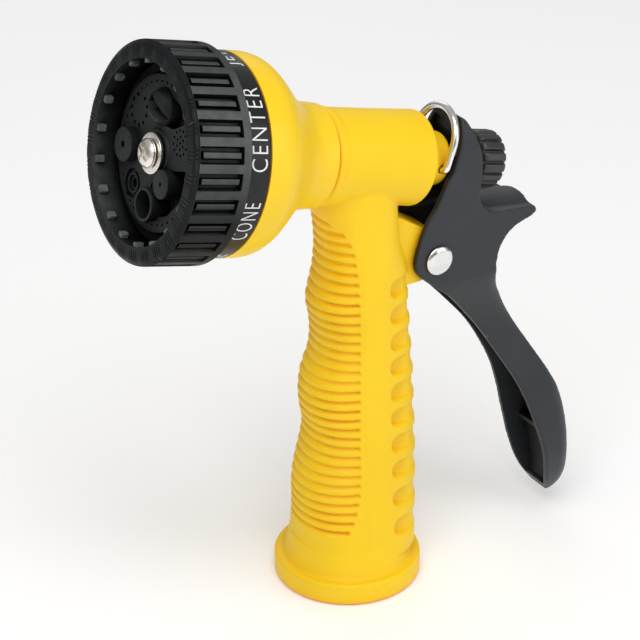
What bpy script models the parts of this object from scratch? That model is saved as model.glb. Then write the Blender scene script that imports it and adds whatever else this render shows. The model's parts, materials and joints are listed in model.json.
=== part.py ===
# Pistol-grip hose spray nozzle with a rotating pattern dial, squeeze trigger,
# hold-open wire clip and flow adjusting knob.  All sizes below are in mm.
#
# The grip stands upright on its hose flange, bottom at z = 0.  -X is the front, where
# the dial sprays, and +X the rear, where the trigger hangs.  The barrel crosses the
# top of the grip and rises towards the front.  Three frames are used:
#   BASE_FRAME    hose inlet axis, x to the rear, z up
#   BARREL_FRAME  barrel axis, local z to the rear, local -x up
#   PIVOT_FRAME   trigger rivet, same directions as BASE_FRAME
# Names ending in _AT are positions along the barrel axis, negative towards the front.
import bpy
import bmesh
import math
from mathutils import Matrix, Vector

for old_object in list(bpy.data.objects):
    bpy.data.objects.remove(old_object, do_unlink=True)

MILLI = 0.001           # mm to scene metres

# ---- driving dimensions -------------------------------------------------
INLET_X = -2.28         # hose inlet axis in the scene
AXIS_Z = 118.5          # height where the barrel axis crosses the inlet axis
TILT = math.radians(13.53)
GAP = 0.3               # clearance of cavities and cross holes

FLANGE_R = 19.35
THREAD_ROOT_R = 13.5    # 3/4 inch garden hose thread, cut inside the socket
THREAD_CREST_R = 12.6
THREAD_PITCH = 2.209
THREAD_Z = (1.4, 9.6)
GRIP_X = 2.3            # middle of the handle section, from the inlet axis
HANDLE_SHIFT = 0.3      # added to the front and rear x of the handle table
HANDLE_POINTS = 26
HANDLE_POWER = 2.2      # superellipse power of the handle section
TUBE_X = 1.4            # water tube axis in the handle
TUBE_R = 7.9
TUBE_BORE_R = 6.0

BARREL_R = 11.85
BARREL_FRONT_AT = -11.0
BARREL_REAR_AT = 18.3
BOSS_R = 6.8
BOSS_END_AT = 26.0
CORE_R = 10.0
CHAMBER_R = 7.0

RIM_AT = -59.0
RING_R = 26.1
RING_INNER_R = 21.7
RING_BACK_AT = -44.5
RING_GROOVES = 27
FACE_AT = -54.0
FACE_BACK_AT = -50.8
PLATE_AT = (-44.0, -41.0)
LABEL_AT = (-44.2, -38.4)
LABEL_R = 24.4
SPINDLE_R = 3.0
DIAL_BORE_R = SPINDLE_R + 0.08
PATTERNS = 7
DIAL_CUT_AT = (-60.0, -50.0)    # reach of cutters that go right through the face

# (side, up) places seen along the barrel axis
PORT = (0.0, 11.0)
DETENT = (0.0, -15.0)
JET, ARC, FAN = (11.9, -2.0), (11.3, 6.8), (0.8, 11.0)
ROSE, MIST, SOAKER, CONE = (-9.0, 5.6), (-7.0, -5.1), (-1.8, -11.9), (8.4, -10.3)

PIVOT_X, PIVOT_Z = 21.33, 88.46     # trigger rivet in the base frame
RIVET_R = 2.0
TRIGGER_HALF = 10.0
TRIGGER_WALL = 1.5
CLIP_AT, CLIP_UP = 23.7, -0.6       # clip pivots
CLIP_WIRE_R = 0.95
CLIP_LEAN = 6.0                     # degrees towards the rear
CLIP_HALF = 8.15
CLIP_LENGTH = 14.2

STEM_R = 1.9
STEM_CLEAR_R = 2.2      # bore of the loose parts on the stem
HUB_R = 4.2
KNOB_R = 7.5
KNOB_AT = (36.2, 43.2)
KNOB_FLUTES = 16

RIB_PITCH = 3.45
RIB_DEPTH = 0.75
RIB_Z = (16.5, 106.0)
SCALLOP_Z = (84.9, 77.6, 70.3, 63.3, 56.1, 48.8, 41.4, 34.0, 25.8, 17.3)

# height, front x, rear x, half width of the handle
HANDLE = (
    (8.0, -15.0, 17.2, 15.3), (13.0, -15.1, 17.3, 15.3), (20.0, -14.9, 17.6, 14.7),
    (28.0, -15.2, 17.8, 14.0), (35.0, -14.0, 17.8, 13.6), (38.6, -13.0, 17.7, 13.4),
    (45.0, -11.8, 17.5, 13.0), (49.4, -12.7, 17.3, 12.7), (54.5, -13.3, 17.1, 12.5),
    (60.5, -12.6, 16.8, 12.2), (66.0, -10.2, 16.3, 12.0), (70.5, -9.6, 15.8, 11.9),
    (75.0, -10.0, 15.5, 11.7), (80.5, -11.1, 15.0, 11.5), (84.9, -10.1, 14.6, 11.4),
    (88.3, -9.1, 14.4, 11.2), (92.0, -8.7, 13.2, 11.0), (95.0, -8.5, 12.2, 10.9),
    (99.8, -8.9, 11.5, 10.7), (106.0, -9.6, 11.2, 10.5), (113.0, -9.8, 11.1, 10.2),
)


# ---- frames -------------------------------------------------------------
def shift(x=0.0, y=0.0, z=0.0):
    """Translation matrix from sizes in mm."""
    return Matrix.Translation(Vector((x, y, z)) * MILLI)


def on_barrel(along, side=0.0, up=0.0):
    """Barrel coordinates as a local point of the barrel frame."""
    return (-up, side, along)


def around(centre, radius, angle):
    """(side, up) place at an angle measured from straight up."""
    return (centre[0] + radius * math.sin(angle), centre[1] + radius * math.cos(angle))


BASE_FRAME = Matrix.Translation(Vector((INLET_X * MILLI, 0.0, 0.0)))
TUBE_FRAME = BASE_FRAME @ Matrix.Translation(Vector((TUBE_X * MILLI, 0.0, 0.0)))
BARREL_FRAME = (Matrix.Translation(Vector((INLET_X * MILLI, 0.0, AXIS_Z * MILLI)))
                @ Matrix.Rotation(TILT, 4, 'Y') @ Matrix.Rotation(math.radians(90.0), 4, 'Y'))
PIVOT_FRAME = BASE_FRAME @ Matrix.Translation(Vector((PIVOT_X * MILLI, 0, PIVOT_Z * MILLI)))

parts = bpy.data.collections.new("hose_spray_nozzle")
helpers = bpy.data.collections.new("cutters")
bpy.context.scene.collection.children.link(parts)
bpy.context.scene.collection.children.link(helpers)


# ---- materials ----------------------------------------------------------
def new_material(name, rgb, roughness, metallic=0.0):
    material = bpy.data.materials.new(name)
    material.use_nodes = True
    inputs = material.node_tree.nodes["Principled BSDF"].inputs
    inputs["Base Color"].default_value = (*rgb, 1.0)
    inputs["Roughness"].default_value = roughness
    inputs["Metallic"].default_value = metallic
    material.diffuse_color = (*rgb, 1.0)
    return material


VINYL = new_material("yellow_vinyl", rgb=(0.93, 0.62, 0.02), roughness=0.45)
YELLOW = new_material("yellow_plastic", rgb=(0.94, 0.63, 0.02), roughness=0.35)
BLACK = new_material("black_plastic", rgb=(0.022, 0.024, 0.026), roughness=0.4)
LABEL = new_material("label_black", rgb=(0.015, 0.016, 0.018), roughness=0.35)
GREY = new_material("trigger_grey", rgb=(0.045, 0.05, 0.055), roughness=0.42)
ZINC = new_material("zinc_casting", rgb=(0.55, 0.56, 0.57), roughness=0.4, metallic=1.0)
BRASS = new_material("brass", rgb=(0.78, 0.57, 0.22), roughness=0.3, metallic=1.0)
STEEL = new_material("steel_wire", rgb=(0.75, 0.76, 0.78), roughness=0.22, metallic=1.0)
CHROME = new_material("rivet_chrome", rgb=(0.85, 0.85, 0.86), roughness=0.15, metallic=1.0)
NICKEL = new_material("screw_nickel", rgb=(0.72, 0.68, 0.6), roughness=0.25, metallic=1.0)
RUBBER = new_material("rubber", rgb=(0.03, 0.03, 0.03), roughness=0.7)
NYLON = new_material("nylon_black", rgb=(0.03, 0.03, 0.035), roughness=0.5)


# ---- objects: without a material they are hidden boolean helpers ---------
def place(name, data, frame, material):
    piece = bpy.data.objects.new(name, data)
    piece.matrix_world = frame
    if material is None:
        helpers.objects.link(piece)
        piece.hide_render = True
        piece.display_type = 'WIRE'
    else:
        parts.objects.link(piece)
        data.materials.append(material)
    return piece


def turned(name, profile, frame, segments, material=None):
    """Profile of (radius, height) turned about local z."""
    on_axis = abs(profile[0][0]) < 1e-9 and abs(profile[-1][0]) < 1e-9
    area = sum(a[0] * b[1] - b[0] * a[1] for a, b in zip(profile, profile[1:] + profile[:1]))
    if area > 0:
        profile = profile[::-1]
    count = len(profile)
    edges = [(i, i + 1) for i in range(count - 1)]
    if not on_axis:
        edges.append((count - 1, 0))
    data = bpy.data.meshes.new(name)
    data.from_pydata([(radius * MILLI, 0.0, z * MILLI) for radius, z in profile], edges, [])
    piece = place(name, data, frame, material)
    screw = piece.modifiers.new("turn", 'SCREW')
    screw.axis = 'Z'
    screw.angle = math.tau
    screw.steps = segments
    screw.render_steps = segments
    screw.use_merge_vertices = True
    screw.merge_threshold = 0.00001
    screw.use_smooth_shade = True
    return piece


def torus(name, major, minor, frame, segments, sides):
    """Rubber ring about local z."""
    profile = [(major + minor * math.cos(math.tau * i / sides),
                minor * math.sin(math.tau * i / sides)) for i in range(sides)]
    return turned(name, profile, frame, segments, RUBBER)


def solid(name, mesh, frame, material=None):
    data = bpy.data.meshes.new(name)
    bmesh.ops.recalc_face_normals(mesh, faces=mesh.faces[:])
    mesh.to_mesh(data)
    mesh.free()
    return place(name, data, frame, material)


def add_cylinder(mesh, start, end, radius, segments):
    """Cylinder between two local points."""
    start, end = Vector(start) * MILLI, Vector(end) * MILLI
    axis = end - start
    turn = axis.to_track_quat('Z', 'Y').to_matrix().to_4x4()
    bmesh.ops.create_cone(mesh, cap_ends=True, cap_tris=False, segments=segments,
                          radius1=radius * MILLI, radius2=radius * MILLI, depth=axis.length,
                          matrix=Matrix.Translation((start + end) / 2) @ turn)


def add_post(mesh, centre, span, radius, segments):
    """Cylinder parallel to the barrel axis at a (side, up) centre."""
    add_cylinder(mesh, on_barrel(span[0], *centre), on_barrel(span[1], *centre),
                 radius, segments)


def add_box(mesh, low, high, turn=Matrix.Identity(4)):
    low, high = Vector(low) * MILLI, Vector(high) * MILLI
    matrix = Matrix.Translation((low + high) / 2) @ Matrix.Diagonal((*(high - low), 1.0))
    bmesh.ops.create_cube(mesh, size=1.0, matrix=turn @ matrix)


def add_ball(mesh, centre, radius, meridians, rings, scale=(1, 1, 1), turn=Matrix.Identity(4)):
    matrix = Matrix.Translation(Vector(centre) * MILLI) @ turn @ Matrix.Diagonal((*scale, 1.0))
    bmesh.ops.create_uvsphere(mesh, u_segments=meridians, v_segments=rings,
                              radius=radius * MILLI, matrix=matrix)


def add_ring(mesh, points):
    return [mesh.verts.new([value * MILLI for value in point]) for point in points]


def add_prism(mesh, start, end):
    """Closed solid between two matching rings of local points."""
    start, end = add_ring(mesh, start), add_ring(mesh, end)
    mesh.faces.new(start)
    mesh.faces.new(end[::-1])
    for i in range(len(start)):
        j = (i + 1) % len(start)
        mesh.faces.new((start[i], end[i], end[j], start[j]))


def post(name, centre, span, radius, segments, material=None):
    mesh = bmesh.new()
    add_post(mesh, centre, span, radius, segments)
    return solid(name, mesh, BARREL_FRAME, material)


def box(name, low, high):
    """Box helper in the barrel frame."""
    mesh = bmesh.new()
    add_box(mesh, low, high)
    return solid(name, mesh, BARREL_FRAME)


def plate(name, outline, half, frame, material=None):
    """Outline in local x, z extruded to both sides along y."""
    mesh = bmesh.new()
    add_prism(mesh, [(x, -half, z) for x, z in outline], [(x, half, z) for x, z in outline])
    return solid(name, mesh, frame, material)


def boolean(target, helper, operation='DIFFERENCE'):
    modifier = target.modifiers.new(operation.lower(), 'BOOLEAN')
    modifier.operation = operation
    modifier.solver = 'EXACT'
    modifier.object = helper
    return modifier


def bevel(target, width, angle):
    modifier = target.modifiers.new("edge", 'BEVEL')
    modifier.width = width * MILLI
    modifier.segments = 1
    modifier.limit_method = 'ANGLE'
    modifier.angle_limit = math.radians(angle)


def wire(name, points, radius, frame, resolution):
    """Steel wire through local points."""
    curve = bpy.data.curves.new(name, 'CURVE')
    curve.dimensions = '3D'
    spline = curve.splines.new('POLY')
    spline.points.add(len(points) - 1)
    for spline_point, point in zip(spline.points, points):
        spline_point.co = (*[value * MILLI for value in point], 1.0)
    curve.bevel_depth = radius * MILLI
    curve.bevel_resolution = resolution
    curve.use_fill_caps = True
    return place(name, curve, frame, STEEL)


def coil(name, centre, radius, span, turns, wire_radius):
    """Compression spring along the barrel axis; the pitch closes up in the end coils."""
    start, end = span
    count = int(turns * 8)
    points = []
    for i in range(count + 1):
        turn = i / count * turns
        if turn < 1:
            rise = 0.125 * turn * turn
        elif turn > turns - 1:
            rise = turns - 1.75 - 0.125 * (turns - turn) ** 2
        else:
            rise = turn - 0.875
        along = (start + wire_radius
                 + (end - start - 2 * wire_radius) * rise / (turns - 1.75))
        angle = math.tau * turn
        points.append(on_barrel(along, centre[0] + radius * math.cos(angle),
                                centre[1] + radius * math.sin(angle)))
    return wire(name, points, wire_radius, BARREL_FRAME, resolution=1)


# ---- grip cover ---------------------------------------------------------
def handle_size(z):
    """Front x, rear x and half width at a height, eased between the table rows."""
    for lower, upper in zip(HANDLE, HANDLE[1:]):
        if z <= upper[0]:
            blend = (z - lower[0]) / (upper[0] - lower[0])
            blend = blend * blend * (3 - 2 * blend) * 0.5 + blend * 0.5
            return tuple(a + (b - a) * blend for a, b in zip(lower[1:], upper[1:]))


def handle_section(z, dip):
    """Superellipse ring at a height; dip draws its front part inwards."""
    front, rear, half = handle_size(z)
    front, rear = front + HANDLE_SHIFT, rear + HANDLE_SHIFT
    ring = []
    for i in range(HANDLE_POINTS):
        angle = math.tau * i / HANDLE_POINTS
        cosine, sine = math.cos(angle), math.sin(angle)
        reach = (rear - GRIP_X) if cosine >= 0 else (GRIP_X - front)
        x = GRIP_X + reach * math.copysign(abs(cosine) ** (2 / HANDLE_POWER), cosine)
        y = half * math.copysign(abs(sine) ** (2 / HANDLE_POWER), sine)
        # the dip fades in over 1.5 mm ahead of x = -3
        weight = min(1.0, max(0.0, (-3.0 - x) / 1.5))
        distance = math.hypot(x - GRIP_X, y)
        x -= (x - GRIP_X) / distance * dip * weight
        y -= y / distance * dip * weight
        ring.append((x, y, z))
    return ring


def ribbed_handle():
    levels = [(8.0, 0.0), (13.0, 0.0)]
    z = RIB_Z[0]
    while z < RIB_Z[1]:
        levels += [(z, 0.0), (z + RIB_PITCH / 2, RIB_DEPTH)]
        z += RIB_PITCH
    levels += [(z, 0.0), (113.0, 0.0)]
    mesh = bmesh.new()
    rings = [add_ring(mesh, handle_section(height, dip)) for height, dip in levels]
    for lower, upper in zip(rings, rings[1:]):
        for i in range(HANDLE_POINTS):
            j = (i + 1) % HANDLE_POINTS
            mesh.faces.new((lower[i], lower[j], upper[j], upper[i]))
    mesh.faces.new(rings[0][::-1])
    mesh.faces.new(rings[-1])
    return solid("grip_cover", mesh, BASE_FRAME, VINYL)


def scallop_cutter():
    """Long slanted balls that notch the two rear corners of the handle."""
    mesh = bmesh.new()
    for z in SCALLOP_Z:
        half = handle_size(z)[2]
        for side in (-1, 1):
            direction = Vector((13.0, -side * 7.6, 1.7))
            add_ball(mesh, (13.5, side * (half - 2.4), z + 0.7), 2.15, 10, 8,
                     scale=(1.0, 1.0, 4.1),
                     turn=direction.to_track_quat('Z', 'Y').to_matrix().to_4x4())
    return solid("scallop_cutter", mesh, BASE_FRAME)


# (radius, height)
FLANGE_PROFILE = [
    (0, 0), (18.8, 0), (FLANGE_R, 0.6), (FLANGE_R, 5.3), (18.8, 6.1), (17.7, 6.2),
    (17.1, 7.2), (16.4, 9.0), (15.9, 11.0), (15.3, 13.2), (0, 13.2)]
# (radius, along)
BARREL_PROFILE = [
    (0, BARREL_FRONT_AT), (BARREL_R - 0.2, BARREL_FRONT_AT), (BARREL_R + 0.2, -10.2),
    (BARREL_R, 10), (BARREL_R + 0.1, 15.5), (BARREL_R + 0.1, 17.4),
    (BARREL_R - 0.5, BARREL_REAR_AT), (BOSS_R + 0.5, BARREL_REAR_AT), (BOSS_R, 18.9),
    (BOSS_R, 25.2), (BOSS_R - 0.7, BOSS_END_AT), (0, BOSS_END_AT)]
# (x, z) side outlines of the rear lug: cover, casting core and the cavity for the core
LUG_COVER = [(4, 104.5), (10.4, 102.2), (18.7, 96.8), (24.3, 93.4), (26.1, 89.6), (25.3, 85.6),
             (21.5, 83.0), (14, 82.6), (4, 83)]
LUG_CORE = [(4, 101.0), (10.0, 99.5), (18.0, 94.8), (23.0, 91.8), (24.2, 89.4), (23.6, 86.9),
            (20.8, 85.0), (14, 84.6), (4, 84.6)]
LUG_CAVITY = [(4, 101.4), (10.1, 99.9), (18.2, 95.2), (23.3, 92.1), (24.6, 89.4), (23.9, 86.6),
              (20.9, 84.6), (14, 84.2), (4, 84.2)]


def outer_cover():
    cover = ribbed_handle()
    lug = plate("lug_form", LUG_COVER, 6.4, BASE_FRAME)
    bevel(lug, width=0.8, angle=35.0)
    boolean(cover, turned("flange_form", FLANGE_PROFILE, BASE_FRAME, 40), 'UNION')
    boolean(cover, turned("barrel_form", BARREL_PROFILE, BARREL_FRAME, 32), 'UNION')
    boolean(cover, lug, 'UNION')
    boolean(cover, scallop_cutter())
    return cover


# ---- body casting: the same core shapes, grown by a gap, hollow the cover --
def core_base(name, gap, bottom, material=None):
    profile = [(0, bottom), (16.0 + gap, bottom), (16.0 + gap, 8.6 + gap),
               (12.0 + gap, 12.8 + gap), (0, 12.8 + gap)]
    return turned(name, profile, BASE_FRAME, 32, material)


def core_tube(name, gap):
    profile = [(0, 10.0), (TUBE_R + gap, 10.0), (TUBE_R + gap, 112.0), (0, 112.0)]
    return turned(name, profile, TUBE_FRAME, 20)


def core_barrel(name, gap):
    front, shoulder, end = -21.0 - gap, 17.0 + gap, 25.5 + gap * 4
    profile = [(0, front), (CORE_R - 1 + gap, front), (CORE_R + gap, -19.5 - gap),
               (CORE_R + gap, shoulder), (5.6 + gap, shoulder), (5.6 + gap, end), (0, end)]
    return turned(name, profile, BARREL_FRAME, 30)


def core_lug(name, gap, outline):
    return plate(name, outline, 4.9 + gap, BASE_FRAME)


def socket_cutter():
    """Hose socket with the thread as separate ring grooves."""
    profile = [(0, -1.0), (THREAD_CREST_R, -1.0)]
    z = THREAD_Z[0]
    while z + THREAD_PITCH < THREAD_Z[1]:
        profile += [(THREAD_CREST_R, z), (THREAD_ROOT_R, z + THREAD_PITCH * 0.4),
                    (THREAD_ROOT_R, z + THREAD_PITCH * 0.55),
                    (THREAD_CREST_R, z + THREAD_PITCH * 0.95)]
        z += THREAD_PITCH
    profile += [(THREAD_CREST_R, 11.7), (0, 11.7)]
    return turned("socket_cutter", profile, BASE_FRAME, 30)


def body_casting():
    casting = core_base("body_casting", 0.0, 0.8, ZINC)
    boolean(casting, core_tube("tube_form", 0.0), 'UNION')
    boolean(casting, core_barrel("core_barrel_form", 0.0), 'UNION')
    boolean(casting, core_lug("core_lug_form", 0.0, LUG_CORE), 'UNION')
    boolean(casting, socket_cutter())
    water_way = [(0, 5.0), (TUBE_BORE_R, 5.0), (TUBE_BORE_R, 116.0), (0, 116.0)]
    boolean(casting, turned("water_way_cutter", water_way, TUBE_FRAME, 24))
    chamber = [(0, -23), (5.4, -23), (5.4, -10.9), (CHAMBER_R, -10.9), (CHAMBER_R, 16.0),
               (4.6, 16.0), (4.6, 28), (0, 28)]
    boolean(casting, turned("chamber_cutter", chamber, BARREL_FRAME, 32))
    groove = [(8.85, -14.3), (12, -14.3), (12, -12.3), (8.85, -12.3)]
    boolean(casting, turned("o_ring_groove_cutter", groove, BARREL_FRAME, 32))
    return casting


def rivet_hole(name, centre, frame):
    mesh = bmesh.new()
    x, z = centre
    add_cylinder(mesh, (x, -12, z), (x, 12, z), RIVET_R + GAP, 20)
    return solid(name, mesh, frame)


def clip_holes():
    mesh = bmesh.new()
    for side in (-1, 1):
        add_cylinder(mesh, on_barrel(CLIP_AT, side * 5.0, CLIP_UP),
                     on_barrel(CLIP_AT, side * 9, CLIP_UP), CLIP_WIRE_R + GAP, 12)
    return solid("clip_hole_cutter", mesh, BARREL_FRAME)


def grip():
    cover = outer_cover()
    casting = body_casting()
    boolean(cover, core_base("cover_base_cavity", GAP, -2.0))
    boolean(cover, core_tube("cover_tube_cavity", GAP))
    boolean(cover, core_barrel("cover_barrel_cavity", GAP))
    boolean(cover, core_lug("cover_lug_cavity", GAP, LUG_CAVITY))
    cross_holes = (rivet_hole("rivet_hole_cutter", (PIVOT_X, PIVOT_Z), BASE_FRAME),
                   clip_holes())
    for target in (cover, casting):
        for hole in cross_holes:
            boolean(target, hole)


grip()
turned("hose_washer", [(8.3, 9.7), (12.2, 9.7), (12.2, 11.3), (8.3, 11.3)],
       BASE_FRAME, 30, RUBBER)

# ---- front bell ---------------------------------------------------------
# (radius, along): outer wall, neck, inner wall and the web across the bell
BELL_PROFILE = [
    (24.4, -38.1), (24.4, -32), (24.1, -28.8), (22.8, -25.4), (21.2, -23.3), (19.3, -21.4),
    (17.4, -19.6), (15.5, -18.0), (14.3, -16.8), (13.0, -15.0), (12.8, -13.4), (12.8, -11.8),
    (12.4, -11.3), (10.3, -11.3), (10.3, -21.4), (13.6, -22.4), (17.4, -23.6), (20.4, -26.6),
    (22.0, -30.0), (22.0, -34.5), (3.3, -34.5), (3.3, -36.8), (22.0, -36.8), (22.0, -38.1)]


def front_bell():
    bell = turned("front_bell", BELL_PROFILE, BARREL_FRAME, 40, YELLOW)
    # name, centre, span along the barrel, radius, segments, operation
    for name, centre, span, radius, segments, operation in (
            ("port_boss_form", PORT, (-38.4, -33.0), 5.4, 20, 'UNION'),
            ("detent_boss_form", DETENT, (-38.4, -32.6), 3.3, 16, 'UNION'),
            ("port_cutter", PORT, (-40, -34.0), 4.0, 20, 'DIFFERENCE'),
            ("port_hole_cutter", PORT, (-35, -31), 2.4, 16, 'DIFFERENCE'),
            ("detent_cutter", DETENT, (-40, -34.0), 2.1, 14, 'DIFFERENCE')):
        boolean(bell, post(name, centre, span, radius, segments), operation)


front_bell()


# ---- dial ---------------------------------------------------------------
def dial_ring():
    profile = [(RING_INNER_R, RIM_AT), (24.7, RIM_AT), (25.6, -58.2), (RING_R, -57.2),
               (RING_R, RING_BACK_AT), (RING_INNER_R, RING_BACK_AT)]
    ring = turned("dial_ring", profile, BARREL_FRAME, 48, BLACK)
    mesh = bmesh.new()
    for i in range(RING_GROOVES):
        angle = math.tau * (i + 0.86) / RING_GROOVES
        add_box(mesh, (24.95, -1.15, -56.6), (27.5, 1.15, -45.4),
                Matrix.Rotation(angle, 4, 'Z'))
    boolean(ring, solid("grip_groove_cutter", mesh, BARREL_FRAME))


def label_ring():
    profile = [(22.6, LABEL_AT[0]), (LABEL_R - 0.3, LABEL_AT[0]), (LABEL_R, -43.9),
               (LABEL_R, -39.2), (LABEL_R - 0.2, LABEL_AT[1]), (22.6, LABEL_AT[1])]
    turned("label_ring", profile, BARREL_FRAME, 44, LABEL)


# (side, up) outlines of the two face pockets
POCKETS = (
    ((3.0, 6.6), (6.4, 12.6), (2.0, 15.0), (-6.0, 13.8), (-10.2, 10.6), (-5.2, 7.4)),
    ((-4.6, -3.0), (-14.2, 0.6), (-13.8, -6.6), (-9.0, -12.2), (-2.0, -14.9), (0.5, -7.6)),
)
# name, centre, radius, front end of the raised outlet bosses
FACE_BOSSES = (("jet_boss", JET, 4.1, -56.2), ("mist_boss", MIST, 3.45, -56.0),
               ("soaker_boss", SOAKER, 4.05, -56.2), ("fan_boss", FAN, 4.6, -55.2))


def pocket_cutter():
    mesh = bmesh.new()
    for outline in POCKETS:
        add_prism(mesh, [on_barrel(DIAL_CUT_AT[0], *point) for point in outline],
                  [on_barrel(-52.0, *point) for point in outline])
    return solid("pocket_cutter", mesh, BARREL_FRAME)


def outlet_cutter():
    mesh = bmesh.new()
    add_post(mesh, JET, DIAL_CUT_AT, 0.9, 12)
    add_post(mesh, MIST, DIAL_CUT_AT, 0.5, 8)
    add_post(mesh, SOAKER, DIAL_CUT_AT, 3.3, 20)
    add_post(mesh, CONE, (DIAL_CUT_AT[0], -53.0), 3.5, 20)
    add_post(mesh, FAN, DIAL_CUT_AT, 0.9, 8)
    # ten holes on an open arc
    for i in range(10):
        angle = math.radians(-60 + 300 * i / 9) + math.pi / 2
        add_post(mesh, around(ARC, 3.6, angle), DIAL_CUT_AT, 0.48, 5)
    # rose: one hole with two rings around it
    for radius, count in ((0.0, 1), (1.7, 6), (3.3, 10)):
        for i in range(count):
            angle = math.tau * i / count
            centre = (ROSE[0] + radius * math.cos(angle), ROSE[1] + radius * math.sin(angle))
            add_post(mesh, centre, DIAL_CUT_AT, 0.4, 4)
    return solid("outlet_cutter", mesh, BARREL_FRAME)


def rain_ring_cutter():
    """Fine holes near the edge, open at the bottom, and the bore of the cone outlet."""
    mesh = bmesh.new()
    add_post(mesh, CONE, DIAL_CUT_AT, 1.0, 10)
    for i in range(22):
        angle = math.radians(-150 + 300 * i / 21)
        add_post(mesh, around((0, 0), 16.4, -angle), DIAL_CUT_AT, 0.35, 4)
    return solid("rain_ring_cutter", mesh, BARREL_FRAME)


def dial_face():
    profile = [(DIAL_BORE_R, -54.5), (5.5, -54.5), (5.8, FACE_AT), (18.4, FACE_AT),
               (18.9, -52.6), (21.3, -52.6), (21.3, FACE_BACK_AT), (DIAL_BORE_R, FACE_BACK_AT)]
    face = turned("dial_face", profile, BARREL_FRAME, 48, BLACK)
    boolean(face, pocket_cutter())
    for name, centre, radius, front in FACE_BOSSES:
        boolean(face, post(name, centre, (front, -51.2), radius, 24), 'UNION')
    dome = bmesh.new()
    add_ball(dome, on_barrel(-54.6, *FAN), 3.9, 16, 8, scale=(1.0, 1.0, 0.75))
    boolean(face, solid("fan_dome", dome, BARREL_FRAME), 'UNION')
    side, up = FAN
    boolean(face, box("fan_slot_cutter", (-up - 0.6, side - 6, DIAL_CUT_AT[0]),
                      (-up + 0.6, side + 6, -55.3)))
    boolean(face, outlet_cutter())
    boolean(face, rain_ring_cutter())


def dial_back_plate():
    front, back = PLATE_AT
    profile = [(DIAL_BORE_R, -50.4), (5.4, -50.4), (5.4, front), (22.2, front),
               (22.2, back), (DIAL_BORE_R, back)]
    disc = turned("dial_back_plate", profile, BARREL_FRAME, 50, BLACK)
    mesh = bmesh.new()
    for i in range(PATTERNS):
        angle = math.tau * (i + 0.02) / PATTERNS
        add_post(mesh, around((0, 0), PORT[1], angle), (-46, -39), 2.4, 14)
    boolean(disc, solid("plate_port_cutter", mesh, BARREL_FRAME))
    mesh = bmesh.new()
    for i in range(PATTERNS):
        angle = math.tau * i / PATTERNS + math.pi + 0.01
        add_ball(mesh, on_barrel(-40.1, *around((0, 0), -DETENT[1], angle)), 1.4, 10, 7)
    boolean(disc, solid("detent_dimple_cutter", mesh, BARREL_FRAME))


def swirler(name, centre, radius):
    """Plug behind an outlet with three slanted slots in its rim."""
    plug = post(name, centre, (-50.4, -44.4), radius, 16, NYLON)
    mesh = bmesh.new()
    for i in range(3):
        angle = math.tau * i / 3
        turn = (shift(-centre[1] + radius * math.cos(angle),
                      centre[0] + radius * math.sin(angle))
                @ Matrix.Rotation(angle + 0.5, 4, 'Z'))
        add_box(mesh, (-0.7, -0.5, -52), (0.7, 0.5, -43), turn)
    boolean(plug, solid(name + "_slots", mesh, BARREL_FRAME))


dial_ring()
label_ring()
dial_face()
dial_back_plate()
swirler("mist_swirler", MIST, 2.5)
swirler("cone_swirler", CONE, 3.0)


# ---- spindle, screw and seals in the head -------------------------------
def center_screw():
    profile = [(0, -58.0), (1.6, -57.9), (2.8, -57.5), (3.5, -56.8), (3.5, -56.2),
               (1.5, -56.2), (1.5, -39.5), (0, -39.0)]
    screw = turned("center_screw", profile, BARREL_FRAME, 24, NICKEL)
    mesh = bmesh.new()
    for angle in (0.5, 0.5 + math.pi / 2):
        add_box(mesh, (-2.3, -0.45, -60), (2.3, 0.45, -57.0), Matrix.Rotation(angle, 4, 'Z'))
    cross_cut = boolean(screw, solid("cross_slot_cutter", mesh, BARREL_FRAME))
    # the two slot boxes overlap each other
    cross_cut.use_self = True


def detent_ball():
    mesh = bmesh.new()
    add_ball(mesh, on_barrel(-38.85, *DETENT), 1.85, 16, 10)
    ball = solid("detent_ball", mesh, BARREL_FRAME, STEEL)
    for polygon in ball.data.polygons:
        polygon.use_smooth = True


turned("spindle_insert", [(1.65, -54.7), (SPINDLE_R, -54.7), (SPINDLE_R, -34.2), (5.2, -34.2),
                          (5.2, -32.2), (0, -32.2), (0, -38.5), (1.65, -38.5)],
       BARREL_FRAME, 24, BRASS)
turned("screw_washer", [(1.8, -55.9), (4.6, -55.9), (4.9, -55.6), (4.9, -55.0), (1.8, -55.0)],
       BARREL_FRAME, 28, NICKEL)
center_screw()
turned("port_seal", [(2.2, -40.7), (3.6, -40.7), (3.7, -40.4), (3.7, -37.0), (2.2, -37.0)],
       BARREL_FRAME @ shift(*on_barrel(0, *PORT)), 20, RUBBER)
coil("port_seal_spring", PORT, radius=3.0, span=(-36.7, -34.3), turns=3.5, wire_radius=0.3)
detent_ball()
coil("detent_spring", DETENT, radius=1.45, span=(-36.9, -34.3), turns=4, wire_radius=0.25)
torus("bell_o_ring", 9.55, 0.6, BARREL_FRAME @ shift(*on_barrel(-13.3)), segments=24, sides=6)

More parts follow.
